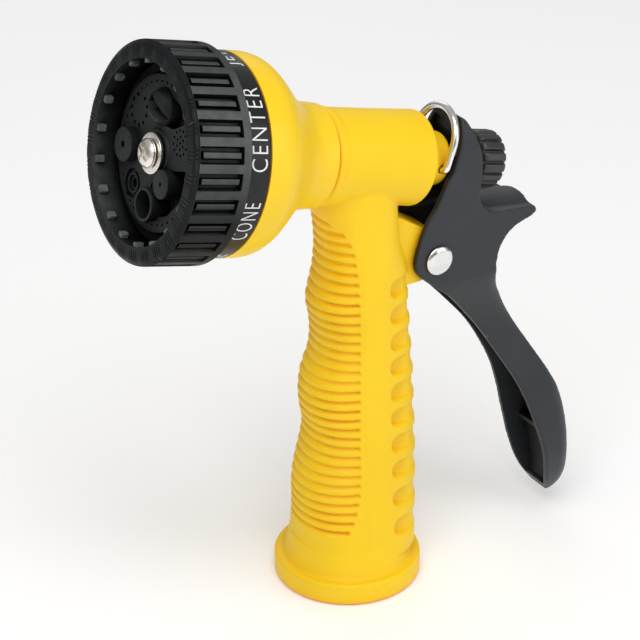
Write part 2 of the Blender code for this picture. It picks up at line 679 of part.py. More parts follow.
# ---- valve --------------------------------------------------------------
# name, material, segments, (radius, along) profile, from front to rear
VALVE_PARTS = (
    ("valve_seat", BRASS, 28, [
        (3.4, -10.6), (6.7, -10.6), (6.7, -9.2), (4.6, -9.2), (4.1, -8.6), (3.6, -9.0),
        (3.4, -9.4)]),
    ("valve_disc", RUBBER, 24, [
        (STEM_CLEAR_R, -8.3), (5.4, -8.3), (5.4, -6.5), (STEM_CLEAR_R, -6.5)]),
    ("disc_retainer", BRASS, 24, [
        (STEM_CLEAR_R, -6.2), (5.0, -6.2), (5.0, -5.0), (STEM_CLEAR_R, -5.0)]),
    ("spring_collar", BRASS, 24, [
        (STEM_CLEAR_R, -4.7), (5.4, -4.7), (5.4, -3.6), (3.0, -3.6), (3.0, -1.8),
        (STEM_CLEAR_R, -1.8)]),
    ("valve_stem", BRASS, 20, [
        (0, -13.0), (1.5, -13.0), (STEM_R, -12.4), (STEM_R, 41.6), (1.5, 42.2), (0, 42.2)]),
    ("gland_nut", BRASS, 24, [
        (2.1, 16.4), (4.3, 16.4), (4.3, 25.2), (2.1, 25.2), (2.1, 21.0), (3.4, 21.0),
        (3.4, 19.4), (2.1, 19.4)]),
    ("thrust_washer", NYLON, 24, [
        (STEM_CLEAR_R, 33.3), (HUB_R - 0.2, 33.3), (HUB_R, 33.6), (HUB_R, 35.9),
        (STEM_CLEAR_R, 35.9)]),
    ("knob_insert", BRASS, 20, [(2.0, 36.5), (3.0, 36.5), (3.0, 42.3), (2.0, 42.3)]),
)
for part_name, part_material, part_segments, part_profile in VALVE_PARTS:
    turned(part_name, part_profile, BARREL_FRAME, part_segments, part_material)
coil("return_spring", (0, 0), radius=4.3, span=(-3.3, 15.6), turns=7, wire_radius=0.55)
torus("stem_o_ring", 2.7, 0.55, BARREL_FRAME @ shift(*on_barrel(20.2)), segments=20, sides=8)


def adjuster_knob():
    front, back = KNOB_AT
    profile = [(3.3, front), (6.7, front), (KNOB_R, 36.9), (KNOB_R, 42.4), (6.8, back),
               (0, back), (0, 42.6), (3.3, 42.6)]
    knob = turned("adjuster_knob", profile, BARREL_FRAME, 32, BLACK)
    mesh = bmesh.new()
    for i in range(KNOB_FLUTES):
        angle = math.tau * i / KNOB_FLUTES
        x, y = 8.0 * math.cos(angle), 8.0 * math.sin(angle)
        add_cylinder(mesh, (x, y, 35), (x, y, 45), 0.95, 6)
    boolean(knob, solid("knob_flute_cutter", mesh, BARREL_FRAME))


adjuster_knob()

# ---- trigger ------------------------------------------------------------
# (x, z) side outline in the base frame, from the top down the rear and up the front
TRIGGER_OUTLINE = [
    (29.2, 124.3), (30.3, 123.6), (31.4, 121.2), (32.8, 117.6), (33.9, 114.4), (34.2, 111.0),
    (33.7, 106.4), (33.5, 103.6), (34.1, 101.0), (36.1, 98.6), (38.4, 97.6), (45.4, 96.9),
    (51.0, 96.4), (51.5, 95.3), (50.3, 94.0), (47.2, 93.0), (44.6, 92.0), (42.7, 90.5),
    (41.1, 88.5), (40.1, 86.3), (39.7, 84.0), (39.7, 81.5), (40.1, 79.0), (41.4, 76.0),
    (43.5, 72.0), (45.7, 68.0), (48.1, 64.0), (50.6, 60.0), (53.9, 55.0), (57.1, 50.0),
    (60.2, 45.0), (62.8, 40.0), (64.4, 35.0), (65.4, 30.0), (66.0, 25.0), (66.4, 20.0),
    (66.9, 15.0), (67.0, 12.0), (66.7, 9.0), (65.8, 6.3), (64.4, 4.5), (63.2, 4.9),
    (62.2, 6.5), (60.8, 9.0), (59.7, 12.0), (58.9, 15.0), (57.7, 20.0), (56.4, 25.0),
    (54.8, 30.0), (53.2, 35.0), (51.3, 40.0), (49.0, 45.0), (46.2, 50.0), (43.1, 55.0),
    (39.9, 60.0), (37.0, 64.0), (33.6, 68.0), (30.1, 72.0), (26.3, 76.0), (21.6, 80.0),
    (17.3, 83.6), (15.2, 86.0), (14.5, 88.6), (15.3, 92.5), (17.8, 98.9), (20.7, 103.2),
    (23.5, 108.8), (25.9, 112.8)]
# (x, z) side outline of the channel hollow, open to the front
HOLLOW_OUTLINE = [
    (20.0, 122.3), (28.8, 122.1), (29.5, 119.3), (30.5, 115.6), (31.1, 111.0), (30.9, 106.0),
    (30.8, 102.6), (31.8, 99.0), (35.0, 95.4), (37.6, 93.2), (38.0, 90.2), (37.6, 86.6),
    (37.4, 84.0), (37.5, 81.5), (37.9, 79.0), (39.2, 76.0), (41.3, 72.0), (43.5, 68.0),
    (45.9, 64.0), (48.4, 60.0), (51.7, 55.0), (54.8, 50.0), (57.9, 45.0), (60.5, 40.0),
    (62.1, 35.0), (63.2, 30.0), (63.8, 25.0), (64.2, 20.0), (64.6, 15.0), (64.7, 12.0),
    (64.3, 9.4), (63.4, 7.6), (50.0, 7.6), (30.0, 40.0), (10.0, 66.0), (5.0, 80.0), (5.0, 112.0)]
# (height, half width) of the trigger seen from the front
TRIGGER_WIDTHS = [
    (126.5, 3.0), (124.0, 5.6), (121.0, 7.4), (117.5, 8.3), (112.0, 8.5), (84.0, 8.5),
    (80.0, 8.3), (76.0, 7.2), (72.0, 5.8), (68.0, 4.6), (64.0, 3.9), (60.0, 3.8), (55.0, 4.3),
    (50.0, 5.3), (45.0, 6.5), (40.0, 7.7), (35.0, 8.5), (30.0, 9.2), (25.0, 9.7), (20.0, 9.7),
    (15.0, 8.8), (12.0, 7.9), (9.0, 6.6), (6.5, 5.0), (4.8, 3.3), (3.6, 2.0)]
# (y, z) section of the crowned top of the thumb spur
CROWN_SECTION = [
    (-8.1, 94.9), (-6.4, 96.9), (-4.4, 97.9), (-2.2, 98.4), (0.0, 98.6), (2.2, 98.4),
    (4.4, 97.9), (6.4, 96.9), (8.1, 94.9)]
# height, x, half width of the ribs in the lower spoon
SPOON_RIBS = ((24.0, 63.9, 8.8), (32.0, 62.7, 8.0), (40.0, 60.4, 6.9), (48.0, 56.0, 5.0))


def from_pivot(outline):
    return [(x - PIVOT_X, z - PIVOT_Z) for x, z in outline]


def width_form(name, inset, front, rear):
    """Front view of the trigger, extruded between two x in the base frame."""
    outline = ([(half - inset, z) for z, half in TRIGGER_WIDTHS]
               + [(inset - half, z) for z, half in TRIGGER_WIDTHS[::-1]])
    mesh = bmesh.new()
    add_prism(mesh, *[[(x - PIVOT_X, y, z - PIVOT_Z) for y, z in outline]
                      for x in (front, rear)])
    return solid(name, mesh, PIVOT_FRAME)


def spur_crown():
    """Crown that drops 0.5 mm to the rear and ends in a slightly rounded edge."""
    mesh = bmesh.new()
    add_prism(mesh, [(37.3 - PIVOT_X, y, z - PIVOT_Z) for y, z in CROWN_SECTION],
              [(51.3 - 0.02 * y * y - PIVOT_X, y, z - 0.5 - PIVOT_Z) for y, z in CROWN_SECTION])
    bmesh.ops.triangulate(mesh, faces=mesh.faces[:])
    return solid("spur_crown_form", mesh, PIVOT_FRAME)


def spoon_ribs():
    mesh = bmesh.new()
    for z, x, half in SPOON_RIBS:
        add_box(mesh, (x - 2.6 - PIVOT_X, -half, z - 0.6 - PIVOT_Z),
                (x + 1.2 - PIVOT_X, half, z + 0.6 - PIVOT_Z))
    return solid("trigger_rib_form", mesh, PIVOT_FRAME)


def build_trigger():
    trigger = plate("trigger", from_pivot(TRIGGER_OUTLINE), TRIGGER_HALF, PIVOT_FRAME, GREY)
    boolean(trigger, width_form("trigger_width_form", 0.0, 0.0, 80.0), 'INTERSECT')
    bevel(trigger, width=0.7, angle=50)
    boolean(trigger, spur_crown(), 'UNION')
    hollow = plate("trigger_hollow", from_pivot(HOLLOW_OUTLINE), 9.0, PIVOT_FRAME)
    boolean(hollow, width_form("trigger_hollow_width", TRIGGER_WALL, -20.0, 90.0), 'INTERSECT')
    boolean(trigger, hollow)
    boolean(trigger, rivet_hole("trigger_rivet_cutter", (0, 0), PIVOT_FRAME))
    boolean(trigger, box("stem_slot_cutter", (-4.4, -2.5, 26), (2.5, 2.5, 40)))
    # seat for the thrust washer
    boolean(trigger, box("washer_seat_cutter", (-8.2, -5.4, 33.0), (5.6, 5.4, 40)))
    boolean(trigger, spoon_ribs(), 'UNION')


def pivot_rivet():
    """Rivet across the trigger, with the same domed head at both ends."""
    head = [(0, -9.9), (2.2, -9.75), (3.5, -9.35), (3.9, -8.85), (RIVET_R, -8.8)]
    turned("pivot_rivet", head + [(radius, -z) for radius, z in head[::-1]],
           PIVOT_FRAME @ Matrix.Rotation(math.radians(90), 4, 'X'), 28, CHROME)


build_trigger()
pivot_rivet()


# ---- hold-open wire clip ------------------------------------------------
def hold_open_clip():
    """Hoop standing on two inturned ends in the boss; local -x points up."""
    leg = [(0, -5.6, 0), (0, -7.6, 0), (-0.25, -8.0, 0), (-0.8, -CLIP_HALF, 0)]
    bow = []
    for i in range(15):
        angle = math.pi * i / 14
        bow.append((-(CLIP_LENGTH - CLIP_HALF + CLIP_HALF * math.sin(angle)),
                    -CLIP_HALF * math.cos(angle), 0))
    frame = (BARREL_FRAME @ shift(*on_barrel(CLIP_AT, 0, CLIP_UP))
             @ Matrix.Rotation(math.radians(CLIP_LEAN), 4, 'Y'))
    wire("hold_open_clip", leg + bow + [(x, -y, z) for x, y, z in leg[::-1]],
         CLIP_WIRE_R, frame, resolution=2)


hold_open_clip()
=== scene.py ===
# Looks of the hose spray nozzle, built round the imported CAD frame.
import json
import math
import bpy
import bmesh
import numpy as np
from mathutils import Matrix, Vector


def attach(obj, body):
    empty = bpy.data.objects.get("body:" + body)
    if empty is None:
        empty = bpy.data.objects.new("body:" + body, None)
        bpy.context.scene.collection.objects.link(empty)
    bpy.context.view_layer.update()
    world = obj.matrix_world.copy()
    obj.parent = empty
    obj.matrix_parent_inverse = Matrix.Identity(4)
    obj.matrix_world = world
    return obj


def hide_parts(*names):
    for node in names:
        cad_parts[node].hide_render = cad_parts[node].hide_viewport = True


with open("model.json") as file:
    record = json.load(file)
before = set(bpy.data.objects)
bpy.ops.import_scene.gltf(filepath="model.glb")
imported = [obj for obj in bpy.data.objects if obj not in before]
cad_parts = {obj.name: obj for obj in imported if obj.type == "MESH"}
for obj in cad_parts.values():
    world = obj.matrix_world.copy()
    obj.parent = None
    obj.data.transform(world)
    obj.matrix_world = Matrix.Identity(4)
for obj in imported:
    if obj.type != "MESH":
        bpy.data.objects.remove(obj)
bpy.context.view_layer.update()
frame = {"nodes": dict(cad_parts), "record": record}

MM = 0.001
X0 = -2.28                      # hose inlet axis
AXZ = 118.5
TILT = math.radians(13.53)
CT, ST = math.cos(TILT), math.sin(TILT)
S = np.array([CT, 0.0, -ST])
U = np.array([ST, 0.0, CT])
Y = np.array([0.0, 1.0, 0.0])
O = np.array([X0, 0.0, AXZ])
RIM_S, FACE_S = -59.0, -54.0
PIV = (21.33, 88.46)
VOX = 0.24


def smooth(a, b, x):
    t = np.clip((x - a) / (b - a), 0.0, 1.0)
    return t * t * (3 - 2 * t)


# ------------------------------------------------------------- materials
def base_mat(name):
    m = bpy.data.materials.new(name)
    m.use_nodes = True
    nt = m.node_tree
    b = nt.nodes["Principled BSDF"]
    tc = nt.nodes.new("ShaderNodeTexCoord")
    return m, nt, b, tc


def noise_node(nt, tc, scale, detail=4.0, rough=0.55, stretch=None):
    n = nt.nodes.new("ShaderNodeTexNoise")
    n.inputs["Scale"].default_value = scale
    n.inputs["Detail"].default_value = detail
    n.inputs["Roughness"].default_value = rough
    if stretch:
        mp = nt.nodes.new("ShaderNodeMapping")
        mp.inputs["Scale"].default_value = stretch
        nt.links.new(tc.outputs["Object"], mp.inputs["Vector"])
        nt.links.new(mp.outputs["Vector"], n.inputs["Vector"])
    else:
        nt.links.new(tc.outputs["Object"], n.inputs["Vector"])
    return n


def ramp(nt, src, stops):
    r = nt.nodes.new("ShaderNodeValToRGB")
    el = r.color_ramp.elements
    while len(el) < len(stops):
        el.new(0.5)
    for e, (p, c) in zip(el, stops):
        e.position = p
        e.color = (c[0], c[1], c[2], 1.0)
    nt.links.new(src, r.inputs["Fac"])
    return r


def surface(name, col, col2, rough, rough2, metal=0.0, patch=60.0, grain=2500.0, grain_h=0.00002,
            coat=0.0, spec=0.5, sss=0.0, brushed=None, edge_wear_and_highlight=None, ao=None, painted_sheen=None):
    """Two-tone base, uneven gloss, fine moulded grain, optional lighter convex edges (partly wear, partly painted edge
    highlight), painted crevice shade from AO and an optional painted sheen on faces turned one way.
    """
    m, nt, b, tc = base_mat(name)
    n1 = noise_node(nt, tc, patch, 3.0, 0.6)
    r1 = ramp(nt, n1.outputs["Fac"], [(0.35, col), (0.7, col2)])
    colour = r1.outputs["Color"]
    if painted_sheen:
        # painted sheen: thin greyish lightening on the faces turned up and to the near side, standing in for their
        # highlight
        g = nt.nodes.new("ShaderNodeNewGeometry")
        dp = nt.nodes.new("ShaderNodeVectorMath")
        dp.operation = 'DOT_PRODUCT'
        nt.links.new(g.outputs["Normal"], dp.inputs[0])
        dp.inputs[1].default_value = Vector(painted_sheen[1]).normalized()
        rb = ramp(nt, dp.outputs["Value"], [(painted_sheen[2], (0, 0, 0)), (painted_sheen[3], (1, 1, 1))])
        nb = noise_node(nt, tc, 260.0, 4.0, 0.7)
        mb = nt.nodes.new("ShaderNodeMath")
        mb.operation = 'MULTIPLY'
        nt.links.new(rb.outputs["Color"], mb.inputs[0])
        rn = ramp(nt, nb.outputs["Fac"], [(0.25, (0.55, 0.55, 0.55)), (0.7, (1, 1, 1))])
        nt.links.new(rn.outputs["Color"], mb.inputs[1])
        mx = nt.nodes.new("ShaderNodeMix")
        mx.data_type = 'RGBA'
        nt.links.new(mb.outputs[0], mx.inputs[0])
        nt.links.new(colour, mx.inputs[6])
        mx.inputs[7].default_value = (*painted_sheen[0], 1.0)
        colour = mx.outputs[2]
    if ao:
        a = nt.nodes.new("ShaderNodeAmbientOcclusion")
        a.inputs["Distance"].default_value = ao[1]
        a.samples = 6
        lo, hi = ao[2:] if len(ao) > 2 else (0.0, 1.0)
        rr = ramp(nt, a.outputs["AO"], [(lo, (0, 0, 0)), (hi, (1, 1, 1))])
        mx = nt.nodes.new("ShaderNodeMix")
        mx.data_type = 'RGBA'
        nt.links.new(rr.outputs["Color"], mx.inputs[0])
        mx.inputs[6].default_value = (*ao[0], 1.0)
        nt.links.new(colour, mx.inputs[7])
        colour = mx.outputs[2]
    # lighter convex edges found by pointiness: partly wear, partly painted edge highlight
    if edge_wear_and_highlight:
        g = nt.nodes.new("ShaderNodeNewGeometry")
        n3 = noise_node(nt, tc, 900.0, 5.0, 0.7)
        ad = nt.nodes.new("ShaderNodeMath")
        ad.operation = 'MULTIPLY'
        rw = ramp(nt, g.outputs["Pointiness"], [(edge_wear_and_highlight[1], (0, 0, 0)), (edge_wear_and_highlight[2], (1, 1, 1))])
        nt.links.new(rw.outputs["Color"], ad.inputs[0])
        nt.links.new(n3.outputs["Fac"], ad.inputs[1])
        mx = nt.nodes.new("ShaderNodeMix")
        mx.data_type = 'RGBA'
        nt.links.new(ad.outputs[0], mx.inputs[0])
        nt.links.new(colour, mx.inputs[6])
        mx.inputs[7].default_value = (*edge_wear_and_highlight[0], 1.0)
        colour = mx.outputs[2]
    nt.links.new(colour, b.inputs["Base Color"])
    n2 = noise_node(nt, tc, patch * 4, 4.0, 0.6)
    mr = nt.nodes.new("ShaderNodeMapRange")
    mr.inputs["To Min"].default_value = rough
    mr.inputs["To Max"].default_value = rough2
    mr.inputs["From Min"].default_value = 0.3
    mr.inputs["From Max"].default_value = 0.7
    nt.links.new(n2.outputs["Fac"], mr.inputs["Value"])
    nt.links.new(mr.outputs["Result"], b.inputs["Roughness"])
    ng = noise_node(nt, tc, grain, 3.0, 0.5, brushed)
    bp = nt.nodes.new("ShaderNodeBump")
    bp.inputs["Strength"].default_value = 1.0
    bp.inputs["Distance"].default_value = grain_h
    nt.links.new(ng.outputs["Fac"], bp.inputs["Height"])
    nt.links.new(bp.outputs["Normal"], b.inputs["Normal"])
    b.inputs["Metallic"].default_value = metal
    b.inputs["Specular IOR Level"].default_value = spec
    b.inputs["Coat Weight"].default_value = coat
    b.inputs["Coat Roughness"].default_value = 0.25
    if sss:
        b.inputs["Subsurface Weight"].default_value = sss
        b.inputs["Subsurface Radius"].default_value = (1.0, 0.55, 0.1)
        b.inputs["Subsurface Scale"].default_value = 0.002
    return m


YEL = surface("vinyl_yellow", (0.93, 0.60, 0.008), (0.965, 0.64, 0.012), 0.42, 0.55, patch=35,
              grain=1800, grain_h=0.000025, spec=0.3, ao=((0.84, 0.36, 0.0), 0.0030, 0.22, 0.95))
YEL2 = surface("bell_yellow", (0.93, 0.605, 0.008), (0.96, 0.645, 0.012), 0.34, 0.44, patch=30,
               grain=2600, grain_h=0.00001, spec=0.4, ao=((0.84, 0.38, 0.0), 0.003, 0.15, 1.0))
# painted edge highlight on the convex edges, painted shade in the crevices and a painted sheen on faces turned up and
# to the near side
BLK = surface("dial_black", (0.010, 0.0112, 0.0118), (0.017, 0.0185, 0.0195), 0.32, 0.44, patch=50,
              grain=3000, grain_h=0.000018, spec=0.08, edge_wear_and_highlight=((0.09, 0.093, 0.095), 0.54, 0.64),
              ao=((0.0008, 0.0008, 0.0008), 0.010, 0.35, 0.92),
              painted_sheen=((0.112, 0.118, 0.119), (-0.05, -0.83, 0.56), 0.62, 1.0))
FACEM = surface("dial_face_black", (0.016, 0.0175, 0.018), (0.026, 0.028, 0.029), 0.42, 0.55, patch=60,
                grain=3200, grain_h=0.00002, spec=0.18,
                ao=((0.0006, 0.0006, 0.0006), 0.012, 0.15, 0.9))
# painted highlight: the black moulded tabs get a lighter grey to stand in for their bright glint
TAB_HIGHLIGHT_MAT = surface("dial_tab_painted_highlight", (0.085, 0.088, 0.09), (0.16, 0.165, 0.17), 0.35, 0.5, patch=300,
               grain=3200, grain_h=0.00002, spec=0.5)
LBL = surface("label_black", (0.008, 0.0085, 0.009), (0.013, 0.0135, 0.014), 0.25, 0.36, patch=40,
              grain=4000, grain_h=0.000008, spec=0.3)
INK = surface("label_ink", (0.80, 0.80, 0.80), (0.90, 0.90, 0.89), 0.45, 0.6, patch=400,
              grain=6000, grain_h=0.00001, spec=0.4)
TRG = surface("trigger_grey", (0.026, 0.030, 0.034), (0.036, 0.040, 0.046), 0.36, 0.48, patch=25,
              grain=2200, grain_h=0.00002, spec=0.27, edge_wear_and_highlight=((0.13, 0.14, 0.15), 0.535, 0.63),
              ao=((0.002, 0.0022, 0.0024), 0.009, 0.2, 0.8))
KNB = surface("knob_black", (0.022, 0.022, 0.021), (0.034, 0.034, 0.032), 0.3, 0.42, patch=60,
              grain=2600, grain_h=0.00002, spec=0.5, edge_wear_and_highlight=((0.16, 0.16, 0.15), 0.53, 0.62),
              ao=((0.001, 0.001, 0.001), 0.003))
WIRE = surface("clip_plated_wire", (0.86, 0.87, 0.88), (0.93, 0.93, 0.94), 0.1, 0.22, 1.0, patch=120,
               grain=1500, grain_h=0.000012, brushed=(1.0, 1.0, 8.0))
RIV = surface("rivet_polished", (0.74, 0.74, 0.73), (0.86, 0.86, 0.85), 0.1, 0.24, 1.0, patch=200,
              grain=2500, grain_h=0.00001)
NIK = surface("screw_nickel", (0.80, 0.76, 0.67), (0.93, 0.90, 0.83), 0.2, 0.36, 1.0, patch=260,
              grain=3000, grain_h=0.00003)
ZNC = surface("zinc_cast", (0.50, 0.51, 0.52), (0.60, 0.61, 0.62), 0.38, 0.6, 1.0, patch=80,
              grain=1200, grain_h=0.00006)
BRS = surface("brass_turned", (0.70, 0.50, 0.19), (0.80, 0.60, 0.27), 0.24, 0.4, 1.0, patch=90,
              grain=1600, grain_h=0.00002, brushed=(1.0, 1.0, 10.0))
RUB = surface("rubber_black", (0.015, 0.015, 0.015), (0.026, 0.026, 0.026), 0.65, 0.85, patch=80,
              grain=1500, grain_h=0.00004, spec=0.3)
NYL = surface("nylon_black", (0.018, 0.018, 0.02), (0.028, 0.028, 0.03), 0.42, 0.55, patch=80,
              grain=2200, grain_h=0.00002)
SLOT = {"yellow_vinyl": YEL, "yellow_plastic": YEL2, "black_plastic": BLK, "label_black": LBL,
        "trigger_grey": TRG, "steel_wire": WIRE, "rivet_chrome": RIV, "screw_nickel": NIK,
        "zinc_casting": ZNC, "brass": BRS, "rubber": RUB, "nylon_black": NYL}

# CAD nodes that stay visible get the finish of their slot
for sp in frame["record"]["subparts"]:
    o = frame["nodes"][sp["node"]]
    o.data.materials.clear()
    o.data.materials.append(SLOT[sp["material_slot"]])


# ------------------------------------------------------------- mesh tools
def raw(name, verts, faces):
    me = bpy.data.meshes.new(name)
    me.from_pydata((np.asarray(verts, float) * MM).tolist(), [], [list(map(int, f)) for f in faces])
    me.validate(clean_customdata=False)
    me.update()
    ob = bpy.data.objects.new(name, me)
    bpy.context.scene.collection.objects.link(ob)
    return ob


def fix_normals(ob):
    bm = bmesh.new()
    bm.from_mesh(ob.data)
    bmesh.ops.recalc_face_normals(bm, faces=bm.faces[:])
    bm.to_mesh(ob.data)
    bm.free()
    return ob


def shade(ob, mat, smooth_on=True, auto=None):
    ob.data.materials.clear()
    ob.data.materials.append(mat)
    ob.data.polygons.foreach_set("use_smooth", [smooth_on] * len(ob.data.polygons))
    if auto:
        bm = bmesh.new()
        bm.from_mesh(ob.data)
        for e in bm.edges:
            if len(e.link_faces) == 2 and e.calc_face_angle(0.0) > math.radians(auto):
                e.smooth = False
        bm.to_mesh(ob.data)
        bm.free()
    ob.data.update()
    return ob


def place(ob, body, nodes, mat, smooth_on=True, auto=None):
    shade(ob, mat, smooth_on, auto)
    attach(ob, body)
    if nodes:
        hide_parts(*nodes)
    return ob


def round_prof(prof, r, n=4, closed=True):
    """Rounds each corner of a profile with a short curve."""
    out = []
    m = len(prof)
    for i, p in enumerate(prof):
        if not closed and i in (0, m - 1):
            out.append(tuple(p))
            continue
        a = np.array(prof[i - 1], float)
        b = np.array(p, float)
        c = np.array(prof[(i + 1) % m], float)
        la, lc = np.linalg.norm(a - b), np.linalg.norm(c - b)
        ua, uc = (a - b) / la, (c - b) / lc
        if ua @ uc < -0.985:
            out.append(tuple(b))
            continue
        d = min(r, la * 0.45, lc * 0.45)
        p0, p2 = b + ua * d, b + uc * d
        for k in range(n + 1):
            t = k / n
            out.append(tuple((1 - t) ** 2 * p0 + 2 * t * (1 - t) * b + t * t * p2))
    return out


def bar_pt(s, y, u):
    return O + np.multiply.outer(s, S) + np.multiply.outer(y, Y) + np.multiply.outer(u, U)


def turned(name, prof, seg=128, frame_fn=None, disp=None):
    """(r, s) profile round the barrel axis, or any frame_fn(s, y, u)."""
    frame_fn = frame_fn or bar_pt
    axis0, axis1 = prof[0][0] < 1e-6, prof[-1][0] < 1e-6
    closed = not (axis0 and axis1)
    r = np.array([p[0] for p in prof], float)
    h = np.array([p[1] for p in prof], float)
    ang = np.arange(seg) * math.tau / seg
    n = len(prof)
    R = np.repeat(r[:, None], seg, 1)
    Hh = np.repeat(h[:, None], seg, 1)
    A = np.repeat(ang[None, :], n, 0)
    if disp is not None:
        R, Hh = disp(R, Hh, A)
    V = frame_fn(Hh, -R * np.sin(A), R * np.cos(A)).reshape(-1, 3)
    faces = []
    rows = n if closed else n - 1
    idx = np.arange(n * seg).reshape(n, seg)
    if not closed:
        idx[0, :] = idx[0, 0]
        idx[-1, :] = idx[-1, 0]
    for i in range(rows):
        a, b = idx[i], idx[(i + 1) % n]
        for j in range(seg):
            k = (j + 1) % seg
            f = [a[j], a[k], b[k], b[j]]
            g = []
            for v in f:
                if v not in g:
                    g.append(v)
            if len(g) >= 3:
                faces.append(g)
    used = np.unique(np.concatenate([np.array(f) for f in faces]))
    remap = -np.ones(len(V), int)
    remap[used] = np.arange(len(used))
    faces = [remap[np.array(f)] for f in faces]
    return fix_normals(raw(name, V[used], faces))


def base_pt(s, y, u):
    """Frame of the hose inlet: s is x, u is height."""
    return np.stack([X0 + s, y, u], -1)


def vert_frame(x):
    def f(h, y, u):
        return np.stack([X0 + x + u, y, h], -1)
    return f


def boolean(ob, cutters, op='DIFFERENCE'):
    for c in cutters if isinstance(cutters, (list, tuple)) else [cutters]:
        m = ob.modifiers.new("b", 'BOOLEAN')
        m.operation = op
        m.solver = 'MANIFOLD'
        m.object = c
        bake(ob)
        bpy.data.objects.remove(c, do_unlink=True)
    return ob


def bake(ob):
    dg = bpy.context.evaluated_depsgraph_get()
    dg.update()
    me = bpy.data.meshes.new_from_object(ob.evaluated_get(dg))
    old = ob.data
    ob.modifiers.clear()
    ob.data = me
    bpy.data.meshes.remove(old)
    return ob


def remesh(ob, size, smooth_n=0, factor=0.5):
    m = ob.modifiers.new("v", 'REMESH')
    m.mode = 'VOXEL'
    m.voxel_size = size * MM
    m.use_smooth_shade = True
    if smooth_n:
        k = ob.modifiers.new("s", 'SMOOTH')
        k.factor = factor
        k.iterations = smooth_n
    return bake(ob)


def join(obs, name):
    bm = bmesh.new()
    for o in obs:
        bm.from_mesh(o.data)
    me = bpy.data.meshes.new(name)
    bm.to_mesh(me)
    bm.free()
    for o in obs:
        bpy.data.objects.remove(o, do_unlink=True)
    ob = bpy.data.objects.new(name, me)
    bpy.context.scene.collection.objects.link(ob)
    return ob


def cyl(name, p, q, r, seg=48, r2=None, rings=1):
    p, q = np.asarray(p, float), np.asarray(q, float)
    d = (q - p) / np.linalg.norm(q - p)
    a = np.cross(d, [0.3, 0.9, 0.31])
    a /= np.linalg.norm(a)
    b = np.cross(d, a)
    r2 = r if r2 is None else r2
    t = np.arange(seg) * math.tau / seg
    V = [p + r * (math.cos(x) * a + math.sin(x) * b) for x in t]
    V += [q + r2 * (math.cos(x) * a + math.sin(x) * b) for x in t]
    F = [[j, (j + 1) % seg, seg + (j + 1) % seg, seg + j] for j in range(seg)]
    F += [list(range(seg))[::-1], list(range(seg, 2 * seg))]
    return fix_normals(raw(name, V, F))


def prism(name, pts, axis_pt, h0, h1):
    """2-D outline (a, b) extruded from h0 to h1, placed by axis_pt(a, b, h)."""
    n = len(pts)
    V = [axis_pt(a, b, h0) for a, b in pts] + [axis_pt(a, b, h1) for a, b in pts]
    F = [[i, (i + 1) % n, n + (i + 1) % n, n + i] for i in range(n)]
    F += [list(range(n))[::-1], list(range(n, 2 * n))]
    return fix_normals(raw(name, V, F))


def spline(pts, step=0.8, closed=False):
    """Smooth curve through points (Catmull-Rom)."""
    P = np.array(pts, float)
    n = len(P)
    out = []
    segs = n if closed else n - 1
    for i in range(segs):
        p1, p2 = P[i], P[(i + 1) % n]
        p0 = P[i - 1] if closed or i > 0 else p1 - (p2 - p1)
        p3 = P[(i + 2) % n] if closed or i + 2 < n else p2 + (p2 - p1)
        k = max(1, int(round(np.linalg.norm(p2 - p1) / step)))
        for j in range(k):
            t = j / k
            out.append(0.5 * ((2 * p1) + (-p0 + p2) * t + (2 * p0 - 5 * p1 + 4 * p2 - p3) * t * t
                              + (-p0 + 3 * p1 - 3 * p2 + p3) * t ** 3))
    if not closed:
        out.append(P[-1])
    return np.array(out)


def tube(name, pts, r, sides=20):
    """Round wire along a path, with flat capped ends."""
    P = np.array(pts, float)
    T = np.gradient(P, axis=0)
    T /= np.linalg.norm(T, axis=1)[:, None]
    N = np.zeros_like(P)
    n0 = np.cross(T[0], [0.1, 0.2, 0.97])
    N[0] = n0 / np.linalg.norm(n0)
    for i in range(1, len(P)):
        v = N[i - 1] - (N[i - 1] @ T[i]) * T[i]
        N[i] = v / np.linalg.norm(v)
    B = np.cross(T, N)
    a = np.arange(sides) * math.tau / sides
    V, F = [], []
    for i in range(len(P)):
        for x in a:
            V.append(P[i] + r * (math.cos(x) * N[i] + math.sin(x) * B[i]))
    m = len(P)
    for i in range(m - 1):
        for j in range(sides):
            k = (j + 1) % sides
            F.append([i * sides + j, i * sides + k, (i + 1) * sides + k, (i + 1) * sides + j])
    F.append(list(range(sides))[::-1])
    F.append(list(range((m - 1) * sides, m * sides)))
    return fix_normals(raw(name, V, F))


# ------------------------------------------------------------- grip cover
HANDLE = np.array([
    (8.0, -15.1, 17.2, 15.3), (13.0, -15.1, 17.3, 15.3), (20.0, -14.9, 17.6, 14.7),
    (28.0, -15.2, 17.8, 14.0), (35.0, -14.0, 17.8, 13.6), (38.6, -13.0, 17.7, 13.4),
    (45.0, -11.8, 17.5, 13.0), (49.4, -12.7, 17.3, 12.7), (54.5, -13.3, 17.1, 12.5),
    (60.5, -12.6, 16.8, 12.2), (66.0, -10.2, 16.3, 12.0), (70.5, -9.6, 15.8, 11.9),
    (75.0, -10.0, 15.5, 11.7), (80.5, -11.1, 15.0, 11.5), (84.9, -10.1, 14.6, 11.4),
    (88.3, -9.1, 14.4, 11.2), (92.0, -8.7, 13.2, 11.0), (95.0, -8.5, 12.2, 10.9),
    (99.8, -8.9, 11.5, 10.7), (106.0, -9.7, 11.2, 10.5), (113.0, -10.2, 11.1, 10.2),
    (116.0, -10.3, 11.0, 9.8)])
NOTCH_Z = (84.9, 77.6, 70.3, 63.3, 56.1, 48.8, 41.4, 34.0, 25.8, 17.3)
RIB0, RIBP = 16.3, 2.66
XE = np.array([(16.0, -10.0), (17.7, -8.8), (19.9, -7.4), (22.5, -6.6), (24.8, -5.9), (27.6, -5.4),
               (33.0, -4.9), (45.0, -4.6), (60.0, -4.2), (75.0, -3.9), (89.0, -4.1), (94.3, -4.6),
               (96.8, -4.9), (99.4, -5.7), (102.5, -7.4), (105.2, -10.6), (108.0, -14.0)])


